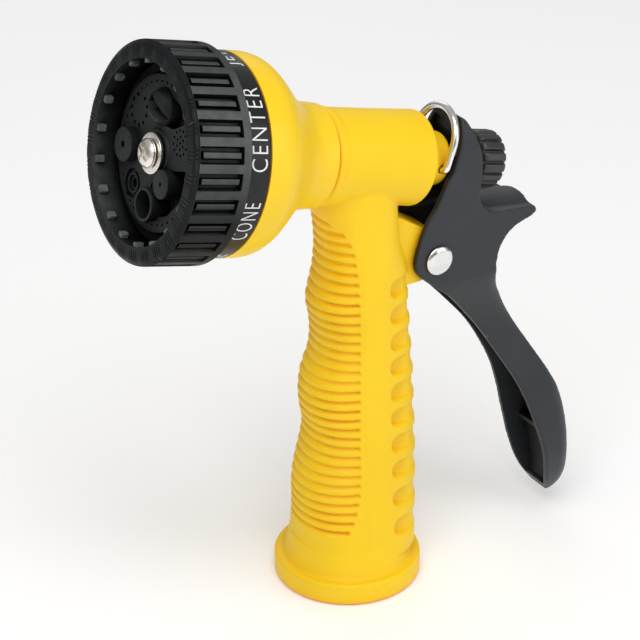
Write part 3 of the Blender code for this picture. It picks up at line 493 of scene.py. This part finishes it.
def pchip(x, xs, ys):
    """Smooth monotone-ish interpolation."""
    d = np.diff(ys) / np.diff(xs)
    m = np.zeros(len(xs))
    m[1:-1] = np.where(d[:-1] * d[1:] > 0, (d[:-1] + d[1:]) / 2, 0.0)
    m[0], m[-1] = d[0], d[-1]
    i = np.clip(np.searchsorted(xs, x) - 1, 0, len(xs) - 2)
    h = xs[i + 1] - xs[i]
    t = (x - xs[i]) / h
    return ((1 + 2 * t) * (1 - t) ** 2 * ys[i] + t * (1 - t) ** 2 * h * m[i]
            + t * t * (3 - 2 * t) * ys[i + 1] + t * t * (t - 1) * h * m[i + 1])


def handle():
    zs = np.arange(9.0, 114.01, 0.22)
    nt = 320
    th = np.arange(nt) * math.tau / nt
    pw = 2.25
    xm = 2.3
    xf = pchip(zs, HANDLE[:, 0], HANDLE[:, 1] + 0.3)[:, None]
    xr = pchip(zs, HANDLE[:, 0], HANDLE[:, 2] + 0.3)[:, None]
    b = pchip(zs, HANDLE[:, 0], HANDLE[:, 3])[:, None]
    c, s = np.cos(th)[None, :], np.sin(th)[None, :]
    ax = np.where(c >= 0, xr - xm, xm - xf)
    X = xm + ax * np.sign(c) * np.abs(c) ** (2 / pw)
    Yy = b * np.sign(s) * np.abs(s) ** (2 / pw)
    Z = np.repeat(zs[:, None], nt, 1)
    # outward normal in plan
    dX = np.roll(X, -1, 1) - np.roll(X, 1, 1)
    dY = np.roll(Yy, -1, 1) - np.roll(Yy, 1, 1)
    L = np.sqrt(dX ** 2 + dY ** 2)
    nx, ny = dY / L, -dX / L
    # finger ribs
    xe = np.interp(zs, XE[:, 0], XE[:, 1])[:, None]
    t = ((Z - RIB0) / RIBP) % 1.0
    prof = (1.0 - np.abs(2 * t - 1) ** 2.3) ** 0.6
    mask = smooth(0.0, 0.25, xe + 0.75 - X) * smooth(17.2, 17.6, Z) * (1 - smooth(106.5, 107.5, Z))
    fade = 0.62 + 0.38 * smooth(0.10, 0.60, np.abs(Yy) / b)
    D = -1.75 * fade * (1 - prof) * mask
    # raised smooth side panel
    D += 0.16 * smooth(-2.9, -2.2, X) * (1 - smooth(4.2, 6.0, X)) * smooth(12, 18, Z) * (1 - smooth(92, 98, Z))
    # scallops on the rear corners
    for zc in NOTCH_Z:
        p = X - 5.1
        q = Z - (zc + 0.1) + 0.10 * p
        hh = 2.75 * np.sqrt(np.clip(1 - (1 - np.clip(p / 3.0, 0, 1)) ** 2, 0, 1))
        up = smooth(0.0, 0.55, hh - q)
        dn = smooth(0.0, 1.3, hh + q)
        lf = smooth(0.0, 0.5, p)
        back = smooth(1.2, 3.2, np.abs(Yy))
        depth = 1.95 - 1.45 * smooth(3.0, 8.0, p)
        D -= depth * up * dn * lf * back
    X = X + nx * D
    Yy = Yy + ny * D
    V = np.stack([X0 + X, Yy, Z], -1).reshape(-1, 3)
    nz = len(zs)
    idx = np.arange(nz * nt).reshape(nz, nt)
    a, bb = idx[:-1], idx[1:]
    F = np.stack([a, np.roll(a, -1, 1), np.roll(bb, -1, 1), bb], -1).reshape(-1, 4).tolist()
    F.append(idx[0][::-1].tolist())
    F.append(idx[-1].tolist())
    return raw("handle_form", V, F)


def cover():
    h = handle()
    foot = turned("foot", [(0, 9.3), (14.9, 9.3)] + round_prof(
        [(14.9, 9.3), (14.9, 0.0), (19.35, 0.0), (19.35, 6.05), (17.15, 6.05), (16.45, 7.6),
         (15.9, 9.8), (15.3, 13.4), (13.0, 13.6)], 1.0, 5, closed=False)[1:] + [(0, 13.6)], 200, vert_frame(0.0))
    br = turned("br", round_prof(
        [(0, -11.0), (11.7, -11.0), (12.2, -10.3), (12.15, -9.0), (11.88, -7.9), (11.85, 6.0), (11.95, 16.0),
         (12.05, 18.3), (7.0, 18.3), (6.8, 18.6), (6.8, 26.0), (0, 26.0)], 0.9, 5, closed=False), 160)
    lugp = [(4, 104.8), (10.4, 102.2), (18.7, 96.8), (24.3, 93.4), (26.1, 89.6), (25.3, 85.6), (21.5, 83.0),
            (14, 82.6), (4, 83)]
    lg = prism("lg", round_prof(lugp, 2.0, 5), lambda a, b, k: (X0 + a, k, b), -6.4, 6.4)
    ob = join([h, foot, br, lg], "cover_vinyl")
    remesh(ob, VOX, 2, 0.5)
    cuts = [turned("c1", [(0, 8.0), (14.9, 8.0), (14.9, 9.0), (12.3, 13.1), (0, 13.1)], 64, vert_frame(0.0)),
            turned("c2", [(0, 10.0), (8.2, 10.0), (8.2, 112.0), (0, 112.0)], 48, vert_frame(1.4)),
            turned("c3", [(0, -22.0), (10.3, -22.0), (10.3, 17.3), (5.9, 17.3), (5.9, 27.5), (0, 27.5)], 64),
            prism("c4", [(4, 101.4), (10.1, 99.9), (18.2, 95.2), (23.3, 92.1), (24.6, 89.4), (23.9, 86.6),
                         (20.9, 84.6), (14, 84.2), (4, 84.2)], lambda a, b, k: (X0 + a, k, b), -5.2, 5.2),
            cyl("c5", (X0 + PIV[0], -12, PIV[1]), (X0 + PIV[0], 12, PIV[1]), 2.3, 32),
            cyl("c6", bar_pt(23.7, -9.0, -0.6), bar_pt(23.7, -5.0, -0.6), 1.25, 24),
            cyl("c7", bar_pt(23.7, 9.0, -0.6), bar_pt(23.7, 5.0, -0.6), 1.25, 24)]
    boolean(ob, cuts)
    return place(ob, "body", ["grip_cover"], YEL)


cover()

# ------------------------------------------------------------- bell
bell_out = np.array([(-38.1, 24.4), (-35.0, 24.4), (-33.0, 24.25), (-32.0, 24.03), (-31.0, 23.7), (-30.0, 23.2), (-29.0, 22.55),
                     (-28.0, 21.75), (-27.0, 20.85), (-26.0, 19.92), (-25.0, 19.0), (-24.0, 18.05), (-23.0, 17.1),
                     (-22.0, 16.2), (-21.0, 15.38), (-20.0, 14.65), (-19.0, 14.05), (-18.0, 13.6), (-17.0, 13.3),
                     (-16.0, 13.1), (-14.5, 12.95), (-11.8, 12.8)])
bs = np.arange(-38.1, -11.79, 0.5)
bell = turned("bell", [(float(r), float(q)) for r, q in zip(pchip(bs, bell_out[:, 0], bell_out[:, 1]), bs)] + round_prof(
    [(12.8, -11.7), (12.4, -11.3), (10.3, -11.3), (10.3, -21.4), (12.0, -22.4), (15.2, -24.8), (18.0, -27.8),
     (20.6, -30.6), (22.0, -33.4), (22.0, -34.5), (3.3, -34.5), (3.3, -36.8), (22.0, -36.8), (22.0, -38.1)], 0.3, 3,
    closed=False), 200)
place(bell, "body", ["front_bell"], YEL2, auto=40)

# ------------------------------------------------------------- dial ring
NG = 27
PH = math.radians(71.5)


def grip_disp(R, Hh, A):
    per = math.tau / NG
    w = ((A - PH) / per + 0.5) % 1.0 - 0.5            # 0 at the middle of a bar
    arc = np.abs(w) * per * 26.1                        # mm from the bar's middle
    win = (1 - smooth(1.75, 2.0, arc)) * smooth(-58.0, -57.7, Hh) * (1 - smooth(-46.9, -46.6, Hh))
    barm = (1 - smooth(0.62, 0.92, arc)) * smooth(-57.3, -57.0, Hh) * (1 - smooth(-47.2, -46.9, Hh))
    out = R > 24.6
    d = win * (1.35 - 0.95 * barm)
    # fine radial serrations on the front edge in line with the bars
    fr = smooth(22.3, 22.7, R) * (1 - smooth(25.2, 25.6, R)) * (Hh < -58.3) * (1 - smooth(1.75, 2.0, arc))
    Hh = Hh + 0.16 * fr * (0.5 + 0.5 * np.cos((A - PH) * NG * 6))
    return np.where(out, R - d, R), Hh


prof = [(21.7, -59.0), (21.9, -59.0)] + [(r, -59.0) for r in (22.6, 23.6, 24.4)]
prof += [(24.7, -58.95), (25.1, -58.75), (25.5, -58.45), (25.85, -58.2)]
hs = np.arange(-58.1, -44.6, 0.16)
prof += [(26.1 - 0.12 * max(0.0, (-57.8 - h)), float(h)) for h in hs]
prof += [(26.05, -44.55), (25.9, -44.5), (24.0, -44.5), (21.7, -44.5), (21.7, -50.0), (21.7, -55.0)]
ringv = turned("dial_grip_ring", prof, NG * 36, disp=grip_disp)
# moulded tabs on the inner wall, given a lighter grey as a painted highlight, and fine marks on the rim
tabs = []
for i in range(18):
    a = math.tau * (i + 0.35) / 18
    def tp(aa, b, k, a=a):
        y, u = -(k * math.sin(a) + aa * math.cos(a)), k * math.cos(a) - aa * math.sin(a)
        return bar_pt(b, y, u)
    tabs.append(prism("tab", round_prof([(-0.85, -58.4), (0.85, -58.4), (0.85, -56.4), (-0.85, -56.4)], 0.25, 2),
                      tp, 20.7, 21.85))
place(ringv, "dial", ["dial_ring"], BLK, auto=38)
place(join(tabs, "dial_rim_tabs"), "dial", [], TAB_HIGHLIGHT_MAT, auto=38)

# ------------------------------------------------------------- label ring and its lettering
lab = turned("label_band", round_prof([(22.6, -44.3), (24.2, -44.3), (24.35, -44.0), (24.35, -38.5),
                                       (24.2, -38.35), (22.6, -38.35)], 0.15, 3), 256)
place(lab, "dial", ["label_ring"], LBL, auto=40)
line = turned("label_line", [(24.3, -44.12), (24.42, -44.12), (24.42, -43.9), (24.3, -43.9)], 256)
place(line, "dial", [], FACEM)


def lettering(word, centre_deg, width_deg, s0, s1):
    cu = bpy.data.curves.new("txt", 'FONT')
    cu.body = word
    cu.align_x = 'CENTER'
    cu.size = 1.0
    cu.space_character = 1.2
    cu.offset = -0.012
    cu.resolution_u = 4
    cu.fill_mode = 'FRONT'
    tmp = bpy.data.objects.new("txt", cu)
    bpy.context.scene.collection.objects.link(tmp)
    dg = bpy.context.evaluated_depsgraph_get()
    me = bpy.data.meshes.new_from_object(tmp.evaluated_get(dg))
    bpy.data.objects.remove(tmp, do_unlink=True)
    bm = bmesh.new()
    bm.from_mesh(me)
    bmesh.ops.triangulate(bm, faces=bm.faces[:])
    bmesh.ops.subdivide_edges(bm, edges=[e for e in bm.edges if e.calc_length() > 0.12], cuts=2,
                              use_grid_fill=False)
    co = np.array([v.co for v in bm.verts])
    lo, hi = co.min(0), co.max(0)
    R = 24.41
    for v in bm.verts:
        fx = (v.co.x - lo[0]) / (hi[0] - lo[0]) - 0.5          # along the word
        fy = (v.co.y - lo[1]) / (hi[1] - lo[1])                # baseline to cap
        a = math.radians(centre_deg - fx * width_deg)
        s = s1 + (s0 - s1) * fy
        p = bar_pt(s, -R * math.sin(a), R * math.cos(a)) * MM
        v.co = p
    me2 = bpy.data.meshes.new("label_" + word)
    bm.to_mesh(me2)
    bm.free()
    ob = bpy.data.objects.new("label_word_" + word, me2)
    bpy.context.scene.collection.objects.link(ob)
    m = ob.modifiers.new("t", 'SOLIDIFY')
    m.thickness = 0.05 * MM
    m.offset = 0.0
    bake(ob)
    return place(ob, "dial", [], INK, False)


for i, (wd, wdeg) in enumerate((("JET", 19.0), ("CENTER", 47.5), ("CONE", 26.0), ("ANGLE", 36.0), ("FULL", 25.0),
                                ("SOAK", 28.0), ("RINSE", 34.0))):
    cdeg = (5.5, 56.2, 110.4, 160.0, 212.0, 263.0, 314.0)[i]
    lettering(wd, cdeg, wdeg, -43.5, -39.3)

# ------------------------------------------------------------- dial face
JET, CRING, FAN = (11.9, -2.0), (11.3, 6.8), (0.8, 11.0)
ROSE, MIST, SOAKER, CONE = (-9.0, 5.6), (-7.0, -5.1), (-1.8, -11.9), (8.4, -10.3)


def fc(name, c, s0, s1, r, seg=40, r2=None):
    return cyl(name, bar_pt(s0, *c), bar_pt(s1, *c), r, seg, r2)


face = turned("dial_outlet_face", round_prof(
    [(3.08, -54.6), (5.6, -54.6), (5.9, -54.0), (18.4, -54.0), (18.9, -52.4), (21.3, -52.4),
     (21.3, -50.8), (3.08, -50.8)], 0.25, 3), 192)
for nm, pts in (("p1", ((3.4, 6.9), (6.4, 12.6), (2.0, 15.0), (-6.0, 13.8), (-10.2, 10.6), (-5.2, 7.4))),
                ("p2", ((-4.8, -2.6), (-14.2, 0.6), (-13.8, -6.6), (-9.0, -12.2), (-2.0, -14.9), (0.5, -7.6)))):
    boolean(face, prism(nm, round_prof(list(pts), 1.2, 4), lambda a, b, k: bar_pt(k, a, b), -60.0, -51.4))


def ring_boss(nm, c, prof, seg=64):
    def fr(h, y, u):
        return bar_pt(h, y + c[0], u + c[1])
    return turned(nm, round_prof(prof, 0.22, 3, closed=False), seg, fr)


boolean(face, [
    ring_boss("b1", JET, [(0, -56.4), (4.1, -56.4), (4.1, -51.2), (0, -51.2)]),
    ring_boss("b2", MIST, [(0, -56.0), (3.45, -56.0), (3.45, -51.2), (0, -51.2)]),
    ring_boss("b3", SOAKER, [(0, -56.4), (4.05, -56.4), (4.05, -51.2), (0, -51.2)]),
    ring_boss("b4", FAN, [(0, -57.2), (2.2, -56.9), (3.6, -56.0), (4.5, -54.4), (4.6, -51.2), (0, -51.2)]),
], 'UNION')
# V notch of the fan outlet
boolean(face, prism("v", [(-2.6, -58.5), (2.6, -58.5), (0.25, -54.6), (-0.25, -54.6)],
                    lambda a, b, k: bar_pt(b, FAN[0] + a * 0.42 + k * 0.9, FAN[1] - a * 0.9 + k * 0.42), -6.0, 3.2))
cuts = [fc("h", JET, -60, -50, 0.85, 24), fc("h", MIST, -60, -50, 0.5, 20), fc("h", SOAKER, -60, -50, 3.35, 48),
        fc("h", FAN, -55.5, -50, 0.8, 20)]


def cone_fr(h, y, u):
    return bar_pt(h, y + CONE[0], u + CONE[1])


cuts.append(turned("h", round_prof([(3.5, -60), (3.5, -53.2), (2.6, -53.2), (2.6, -53.7), (1.9, -53.7), (1.9, -52.0), (0.0, -52.0),
                         (0.0, -60)], 0.1, 2, closed=False)[::-1] if False else
                   [(0, -60), (3.5, -60), (3.5, -53.3), (0, -53.3)], 48, cone_fr))
for i in range(10):
    a = math.radians(-62 + 304 * i / 9) + math.pi / 2
    c = (CRING[0] + 3.6 * math.sin(a), CRING[1] + 3.6 * math.cos(a))
    cuts.append(fc("h", c, -60, -52.2, 0.5, 14))
for k, n in ((0.0, 1), (1.45, 6), (2.9, 12)):
    for i in range(n):
        a = math.tau * (i + 0.3) / n
        cuts.append(fc("h", (ROSE[0] + k * math.cos(a), ROSE[1] + k * math.sin(a)), -60, -52.2, 0.4, 12))
for i in range(44):
    a = math.tau * (i + 0.5) / 44
    c = (-16.6 * math.sin(a), 16.6 * math.cos(a))
    cuts.append(fc("h", c, -60, -52.4, 0.36, 10))
cutter = join(cuts, "cutjoin")
boolean(face, cutter)
boolean(face, [turned("cb", [(0, -55.2), (1.1, -55.2), (1.1, -50), (0, -50)], 20, cone_fr)])
boolean(face, [turned("cr", [(1.9, -53.9), (2.5, -53.9), (2.5, -52.9), (1.9, -52.9)], 40, cone_fr)], 'UNION')
place(face, "dial", ["dial_face"], FACEM, auto=35)

# ------------------------------------------------------------- screw and washer
wsh = turned("washer_ring", round_prof([(1.8, -55.9), (4.9, -55.9), (4.9, -55.05), (1.8, -55.05)], 0.25, 3), 96)
place(wsh, "body", ["screw_washer"], NIK, auto=40)
scr = turned("screw_head", round_prof([(0, -58.0), (1.6, -57.95), (2.7, -57.65), (3.5, -56.9), (3.5, -56.2), (1.5, -56.2),
                            (1.5, -39.5), (0, -39.0)], 0.2, 3, closed=False), 72)
for a in (0.55, 0.55 + math.pi / 2):
    def sp(p, q, k, a=a):
        return bar_pt(k, p * math.cos(a) - q * math.sin(a), p * math.sin(a) + q * math.cos(a))
    boolean(scr, prism("x", [(-2.3, -0.42), (2.3, -0.42), (2.3, 0.42), (-2.3, 0.42)], sp, -60, -56.9))
place(scr, "body", ["center_screw"], NIK, auto=40)

# ------------------------------------------------------------- adjuster knob
def flute(R, Hh, A):
    n = 16
    w = (A / (math.tau / n)) % 1.0
    k = np.clip(np.abs(w - 0.5) * 2, 0, 1)
    dep = 0.75 * (1 - smooth(0.18, 0.42, k)) 
    side = smooth(6.2, 7.2, R)
    return R - dep * side, Hh


kp = [(3.3, 36.2), (6.6, 36.2), (7.1, 36.4), (7.4, 36.8), (7.5, 37.3)] + \
     [(7.5, h) for h in np.arange(37.6, 42.2, 0.4)] + [(7.4, 42.6), (7.1, 43.0), (6.6, 43.2), (5.6, 43.2),
                                                      (5.2, 43.0), (0, 42.95)]
kp = [(0, 42.6), (3.3, 42.6)] + kp
knb = turned("knob_fluted", kp, 16 * 16, disp=flute)
place(knb, "knob", ["adjuster_knob"], KNB, auto=40)
tw = turned("thrust_sleeve", round_prof([(2.2, 33.3), (4.2, 33.3), (4.2, 35.9), (2.2, 35.9)], 0.3, 3), 64)
place(tw, "knob_carrier", ["thrust_washer"], NYL, auto=40)

# ------------------------------------------------------------- rivet
def riv_fr(h, y, u):
    return np.stack([X0 + PIV[0] + y, h, PIV[1] + u], -1)


rv = turned("rivet", [(0, -9.85), (1.2, -9.8), (2.4, -9.65), (3.2, -9.45), (3.65, -9.25), (3.88, -9.0), (3.9, -8.82),
                      (2.0, -8.8), (2.0, 8.8), (3.9, 8.82), (3.88, 9.0), (3.65, 9.25), (3.2, 9.45), (2.4, 9.65),
                      (1.2, 9.8), (0, 9.85)], 96, riv_fr)
place(rv, "body", ["pivot_rivet"], RIV, auto=40)

# ------------------------------------------------------------- hold-open clip
H, CH = 14.2, 8.15
path = [(0.0, -5.7), (0.0, -6.6), (0.0, -7.4), (0.3, -7.95), (0.95, -8.15), (2.0, -8.15), (4.0, -8.15)]
arc = [(H - CH + CH * math.sin(math.pi * i / 16), -CH * math.cos(math.pi * i / 16)) for i in range(0, 17)]
path = path + arc + [(u, -y) for u, y in path[::-1]]
sm = spline(path, 0.35)
lean = math.radians(6.0)
clip = tube("wire_clip", bar_pt(23.7 + sm[:, 0] * math.sin(lean), sm[:, 1], sm[:, 0] * math.cos(lean) - 0.6), 0.95, 24)
place(clip, "clip", ["hold_open_clip"], WIRE)

# ------------------------------------------------------------- trigger
OUT = [(29.2, 124.3), (30.3, 123.6), (31.4, 121.2), (32.8, 117.6), (33.9, 114.4), (34.2, 111.0),
       (33.7, 106.4), (33.5, 103.6), (34.1, 101.0), (36.1, 98.6), (38.4, 97.6), (45.4, 96.9),
       (51.0, 96.4), (51.5, 95.3), (50.3, 94.0), (47.2, 93.0), (44.6, 92.0), (42.7, 90.5),
       (41.1, 88.5), (40.1, 86.3), (39.7, 84.0), (39.7, 81.5), (40.1, 79.0), (41.4, 76.0),
       (43.5, 72.0), (45.7, 68.0), (48.1, 64.0), (50.6, 60.0), (53.9, 55.0), (57.1, 50.0),
       (60.2, 45.0), (62.8, 40.0), (64.4, 35.0), (65.4, 30.0), (66.0, 25.0), (66.4, 20.0),
       (66.9, 15.0), (67.0, 12.0), (66.7, 9.0), (65.8, 6.3), (64.4, 4.5), (63.2, 4.9),
       (62.2, 6.5), (60.8, 9.0), (59.7, 12.0), (58.9, 15.0), (57.7, 20.0), (56.4, 25.0),
       (54.8, 30.0), (53.2, 35.0), (51.3, 40.0), (49.0, 45.0), (46.2, 50.0), (43.1, 55.0),
       (39.9, 60.0), (37.0, 64.0), (33.6, 68.0), (30.1, 72.0), (26.3, 76.0), (21.6, 80.0),
       (17.3, 83.6), (15.2, 86.0), (14.5, 88.6), (15.3, 92.5), (17.8, 98.9), (20.7, 103.2),
       (23.5, 108.8), (25.9, 112.8)]
WID = [(126.5, 3.0), (124.0, 5.6), (121.0, 7.4), (117.5, 8.3), (112.0, 8.5), (84.0, 8.5),
       (80.0, 8.3), (76.0, 7.2), (72.0, 5.8), (68.0, 4.6), (64.0, 3.9), (60.0, 3.8), (55.0, 4.3),
       (50.0, 5.3), (45.0, 6.5), (40.0, 7.7), (35.0, 8.5), (30.0, 9.2), (25.0, 9.7), (20.0, 9.7),
       (15.0, 8.8), (12.0, 7.9), (9.0, 6.6), (6.5, 5.0), (4.8, 3.3), (3.6, 2.0)]
INN = [(20.0, 122.3), (28.8, 122.1), (29.5, 119.3), (30.5, 115.6), (31.1, 111.0), (30.9, 106.0),
       (30.8, 102.6), (31.8, 99.0), (35.0, 95.4), (37.6, 93.2), (38.0, 90.2), (37.6, 86.6),
       (37.4, 84.0), (37.5, 81.5), (37.9, 79.0), (39.2, 76.0), (41.3, 72.0), (43.5, 68.0),
       (45.9, 64.0), (48.4, 60.0), (51.7, 55.0), (54.8, 50.0), (57.9, 45.0), (60.5, 40.0),
       (62.1, 35.0), (63.2, 30.0), (63.8, 25.0), (64.2, 20.0), (64.6, 15.0), (64.7, 12.0),
       (64.3, 9.4), (63.4, 7.6), (50.0, 7.6), (30.0, 40.0), (10.0, 66.0), (5.0, 80.0), (5.0, 112.0)]


def width_poly(inset):
    w = spline([(a, b) for a, b in WID], 1.0)
    pts = [(p[1] - inset, p[0]) for p in w] + [(inset - p[1], p[0]) for p in w[::-1]]
    return pts


def trigger():
    side = lambda a, b, k: (X0 + a, k, b)
    front = lambda a, b, k: (X0 + k, a, b)
    out = spline(OUT, 1.0, closed=True)
    t = prism("trigger_lever", out, side, -10.0, 10.0)
    boolean(t, prism("w", width_poly(0.0), front, 0.0, 85.0), 'INTERSECT')
    crown = [(-8.1, 94.9), (-7.3, 96.1), (-6.4, 96.9), (-4.4, 97.9), (-2.2, 98.4), (0.0, 98.6), (2.2, 98.4),
             (4.4, 97.9), (6.4, 96.9), (7.3, 96.1), (8.1, 94.9)]
    V = [(X0 + 37.3, y, z) for y, z in crown] + [(X0 + 51.3 - 0.02 * y * y, y, z - 0.5) for y, z in crown]
    n = len(crown)
    cw = fix_normals(raw("crown", V, [list(range(n)), list(range(n, 2 * n))[::-1]]
                         + [[i, (i + 1) % n, n + (i + 1) % n, n + i] for i in range(n)]))
    boolean(t, cw, 'UNION')
    remesh(t, 0.34, 9, 0.5)
    rr = np.array([p for p in OUT[22:42]])
    co = np.empty(len(t.data.vertices) * 3)
    t.data.vertices.foreach_get("co", co)
    co = co.reshape(-1, 3) / MM
    d = np.interp(co[:, 2], rr[::-1, 1], rr[::-1, 0]) - (co[:, 0] - X0)
    k = np.clip((4.0 - d) / 4.0, 0, 1) * (1 - smooth(74.0, 84.0, co[:, 2]))
    co[:, 1] *= np.sqrt(1 - 0.38 * k * k)
    t.data.vertices.foreach_set("co", (co * MM).ravel())
    inn = spline(INN[:-6], 1.0).tolist() + INN[-6:]
    h = prism("hol", inn, side, -9.0, 9.0)
    boolean(h, prism("w", width_poly(1.5), front, -20.0, 95.0), 'INTERSECT')
    boolean(t, h)
    cuts = [cyl("r", (X0 + PIV[0], -12, PIV[1]), (X0 + PIV[0], 12, PIV[1]), 2.3, 40)]
    cuts.append(prism("sl", round_prof([(-2.5, -2.5), (2.5, -2.5), (2.5, 4.4), (-2.5, 4.4)], 1.5, 4),
                      lambda a, b, k: bar_pt(k, a, b), 26.0, 40.0))
    cuts.append(prism("st", round_prof([(-5.4, -5.6), (5.4, -5.6), (5.4, 8.2), (-5.4, 8.2)], 1.5, 4),
                      lambda a, b, k: bar_pt(k, a, b), 33.0, 40.0))
    boolean(t, cuts)
    ribs = []
    for zc, xb, yb in ((24.0, 63.9, 8.7), (32.0, 62.7, 7.9), (40.0, 60.4, 6.8), (48.0, 56.0, 4.9)):
        ribs.append(prism("rib", [(xb - 2.6, zc - 0.6), (xb + 0.9, zc - 0.6), (xb + 0.9, zc + 0.6), (xb - 2.6, zc + 0.6)],
                          side, -yb, yb))
    boolean(t, ribs, 'UNION')
    # grip ridges across the rear of the spoon
    grooves = []
    for zc in np.arange(16.0, 36.5, 2.05):
        xr_ = float(np.interp(zc, rr[::-1, 1], rr[::-1, 0]))
        grooves.append(prism("grv", [(xr_ - 0.45, zc), (xr_ + 1.2, zc + 0.85), (xr_ + 1.2, zc - 0.55)], side, -11.0, 11.0))
    boolean(t, grooves)
    return place(t, "trigger", ["trigger"], TRG, auto=55)


trigger()

# ------------------------------------------------------------- floor, light, camera
bpy.ops.mesh.primitive_plane_add(size=6.0, location=(0, 0, -0.0002))
floor = bpy.context.object
floor.name = "floor"
fm, fnt, fb, ftc = base_mat("floor_white")
fn = noise_node(fnt, ftc, 3.0, 2.0)
fr = ramp(fnt, fn.outputs["Fac"], [(0.3, (0.92, 0.92, 0.92)), (0.7, (0.935, 0.935, 0.935))])
fnt.links.new(fr.outputs["Color"], fb.inputs["Base Color"])
fb.inputs["Roughness"].default_value = 0.9
fb.inputs["Emission Color"].default_value = (1.0, 1.0, 1.0, 1.0)
fb.inputs["Emission Strength"].default_value = 0.13
fb.inputs["Specular IOR Level"].default_value = 0.1
floor.data.materials.append(fm)


def area(name, loc, target, w, h, power, col=(1, 1, 1)):
    li = bpy.data.lights.new(name, 'AREA')
    li.shape = 'RECTANGLE'
    li.size, li.size_y = w, h
    li.energy = power
    li.color = col
    ob = bpy.data.objects.new(name, li)
    ob.location = loc
    ob.rotation_euler = (Vector(target) - Vector(loc)).to_track_quat('-Z', 'Y').to_euler()
    bpy.context.scene.collection.objects.link(ob)
    return ob


area("key_top", (-0.30, -0.40, 0.95), (0, 0, 0.08), 0.8, 0.8, 6.4)
area("fill_left", (-0.9, -0.65, 0.30), (0, 0, 0.08), 0.6, 0.9, 0.6)
area("fill_right", (0.58, -0.85, 0.46), (0, 0, 0.07), 0.7, 0.8, 2.6)
area("rim_back", (0.3, 0.8, 0.6), (0, 0, 0.1), 0.8, 0.6, 1.2)
world = bpy.data.worlds.new("studio")
bpy.context.scene.world = world
world.use_nodes = True
wt = world.node_tree
bg = wt.nodes["Background"]
wc = wt.nodes.new("ShaderNodeTexCoord")
ws = wt.nodes.new("ShaderNodeSeparateXYZ")
wt.links.new(wc.outputs["Generated"], ws.inputs[0])
wr = wt.nodes.new("ShaderNodeValToRGB")
for e, (pp, v) in zip([wr.color_ramp.elements[0], wr.color_ramp.elements[1], wr.color_ramp.elements.new(0.5),
                       wr.color_ramp.elements.new(0.5)], ((0.0, 0.25), (0.12, 0.4), (0.35, 0.95), (1.0, 1.0))):
    e.position = pp
    e.color = (v, v, v, 1.0)
wt.links.new(ws.outputs["Z"], wr.inputs["Fac"])
wl = wt.nodes.new("ShaderNodeLightPath")
wm = wt.nodes.new("ShaderNodeMix")
wm.data_type = 'RGBA'
wt.links.new(wl.outputs["Is Camera Ray"], wm.inputs[0])
wt.links.new(wr.outputs["Color"], wm.inputs[6])
wm.inputs[7].default_value = (2.0, 2.0, 2.0, 1.0)
wt.links.new(wm.outputs[2], bg.inputs["Color"])
bg.inputs["Strength"].default_value = 0.42

cam = bpy.data.cameras.new("cam")
cam.sensor_width = 36.0
cam.lens = 2277.99 / 640 * 36.0
bpy.context.scene.view_settings.view_transform = 'Standard'
camo = bpy.data.objects.new("cam", cam)
az, el = math.radians(-31.6236), math.radians(27.4145)
back = Vector((math.sin(az) * math.cos(el), -math.cos(az) * math.cos(el), math.sin(el)))
tgt = Vector((-8.479 + X0, 0.0, 75.945)) * MM
camo.location = tgt + back * 0.570
camo.rotation_euler = (-back).to_track_quat('-Z', 'Y').to_euler()
cam.clip_start = 0.01
cam.clip_end = 20.0
bpy.context.scene.collection.objects.link(camo)
bpy.context.scene.camera = camo
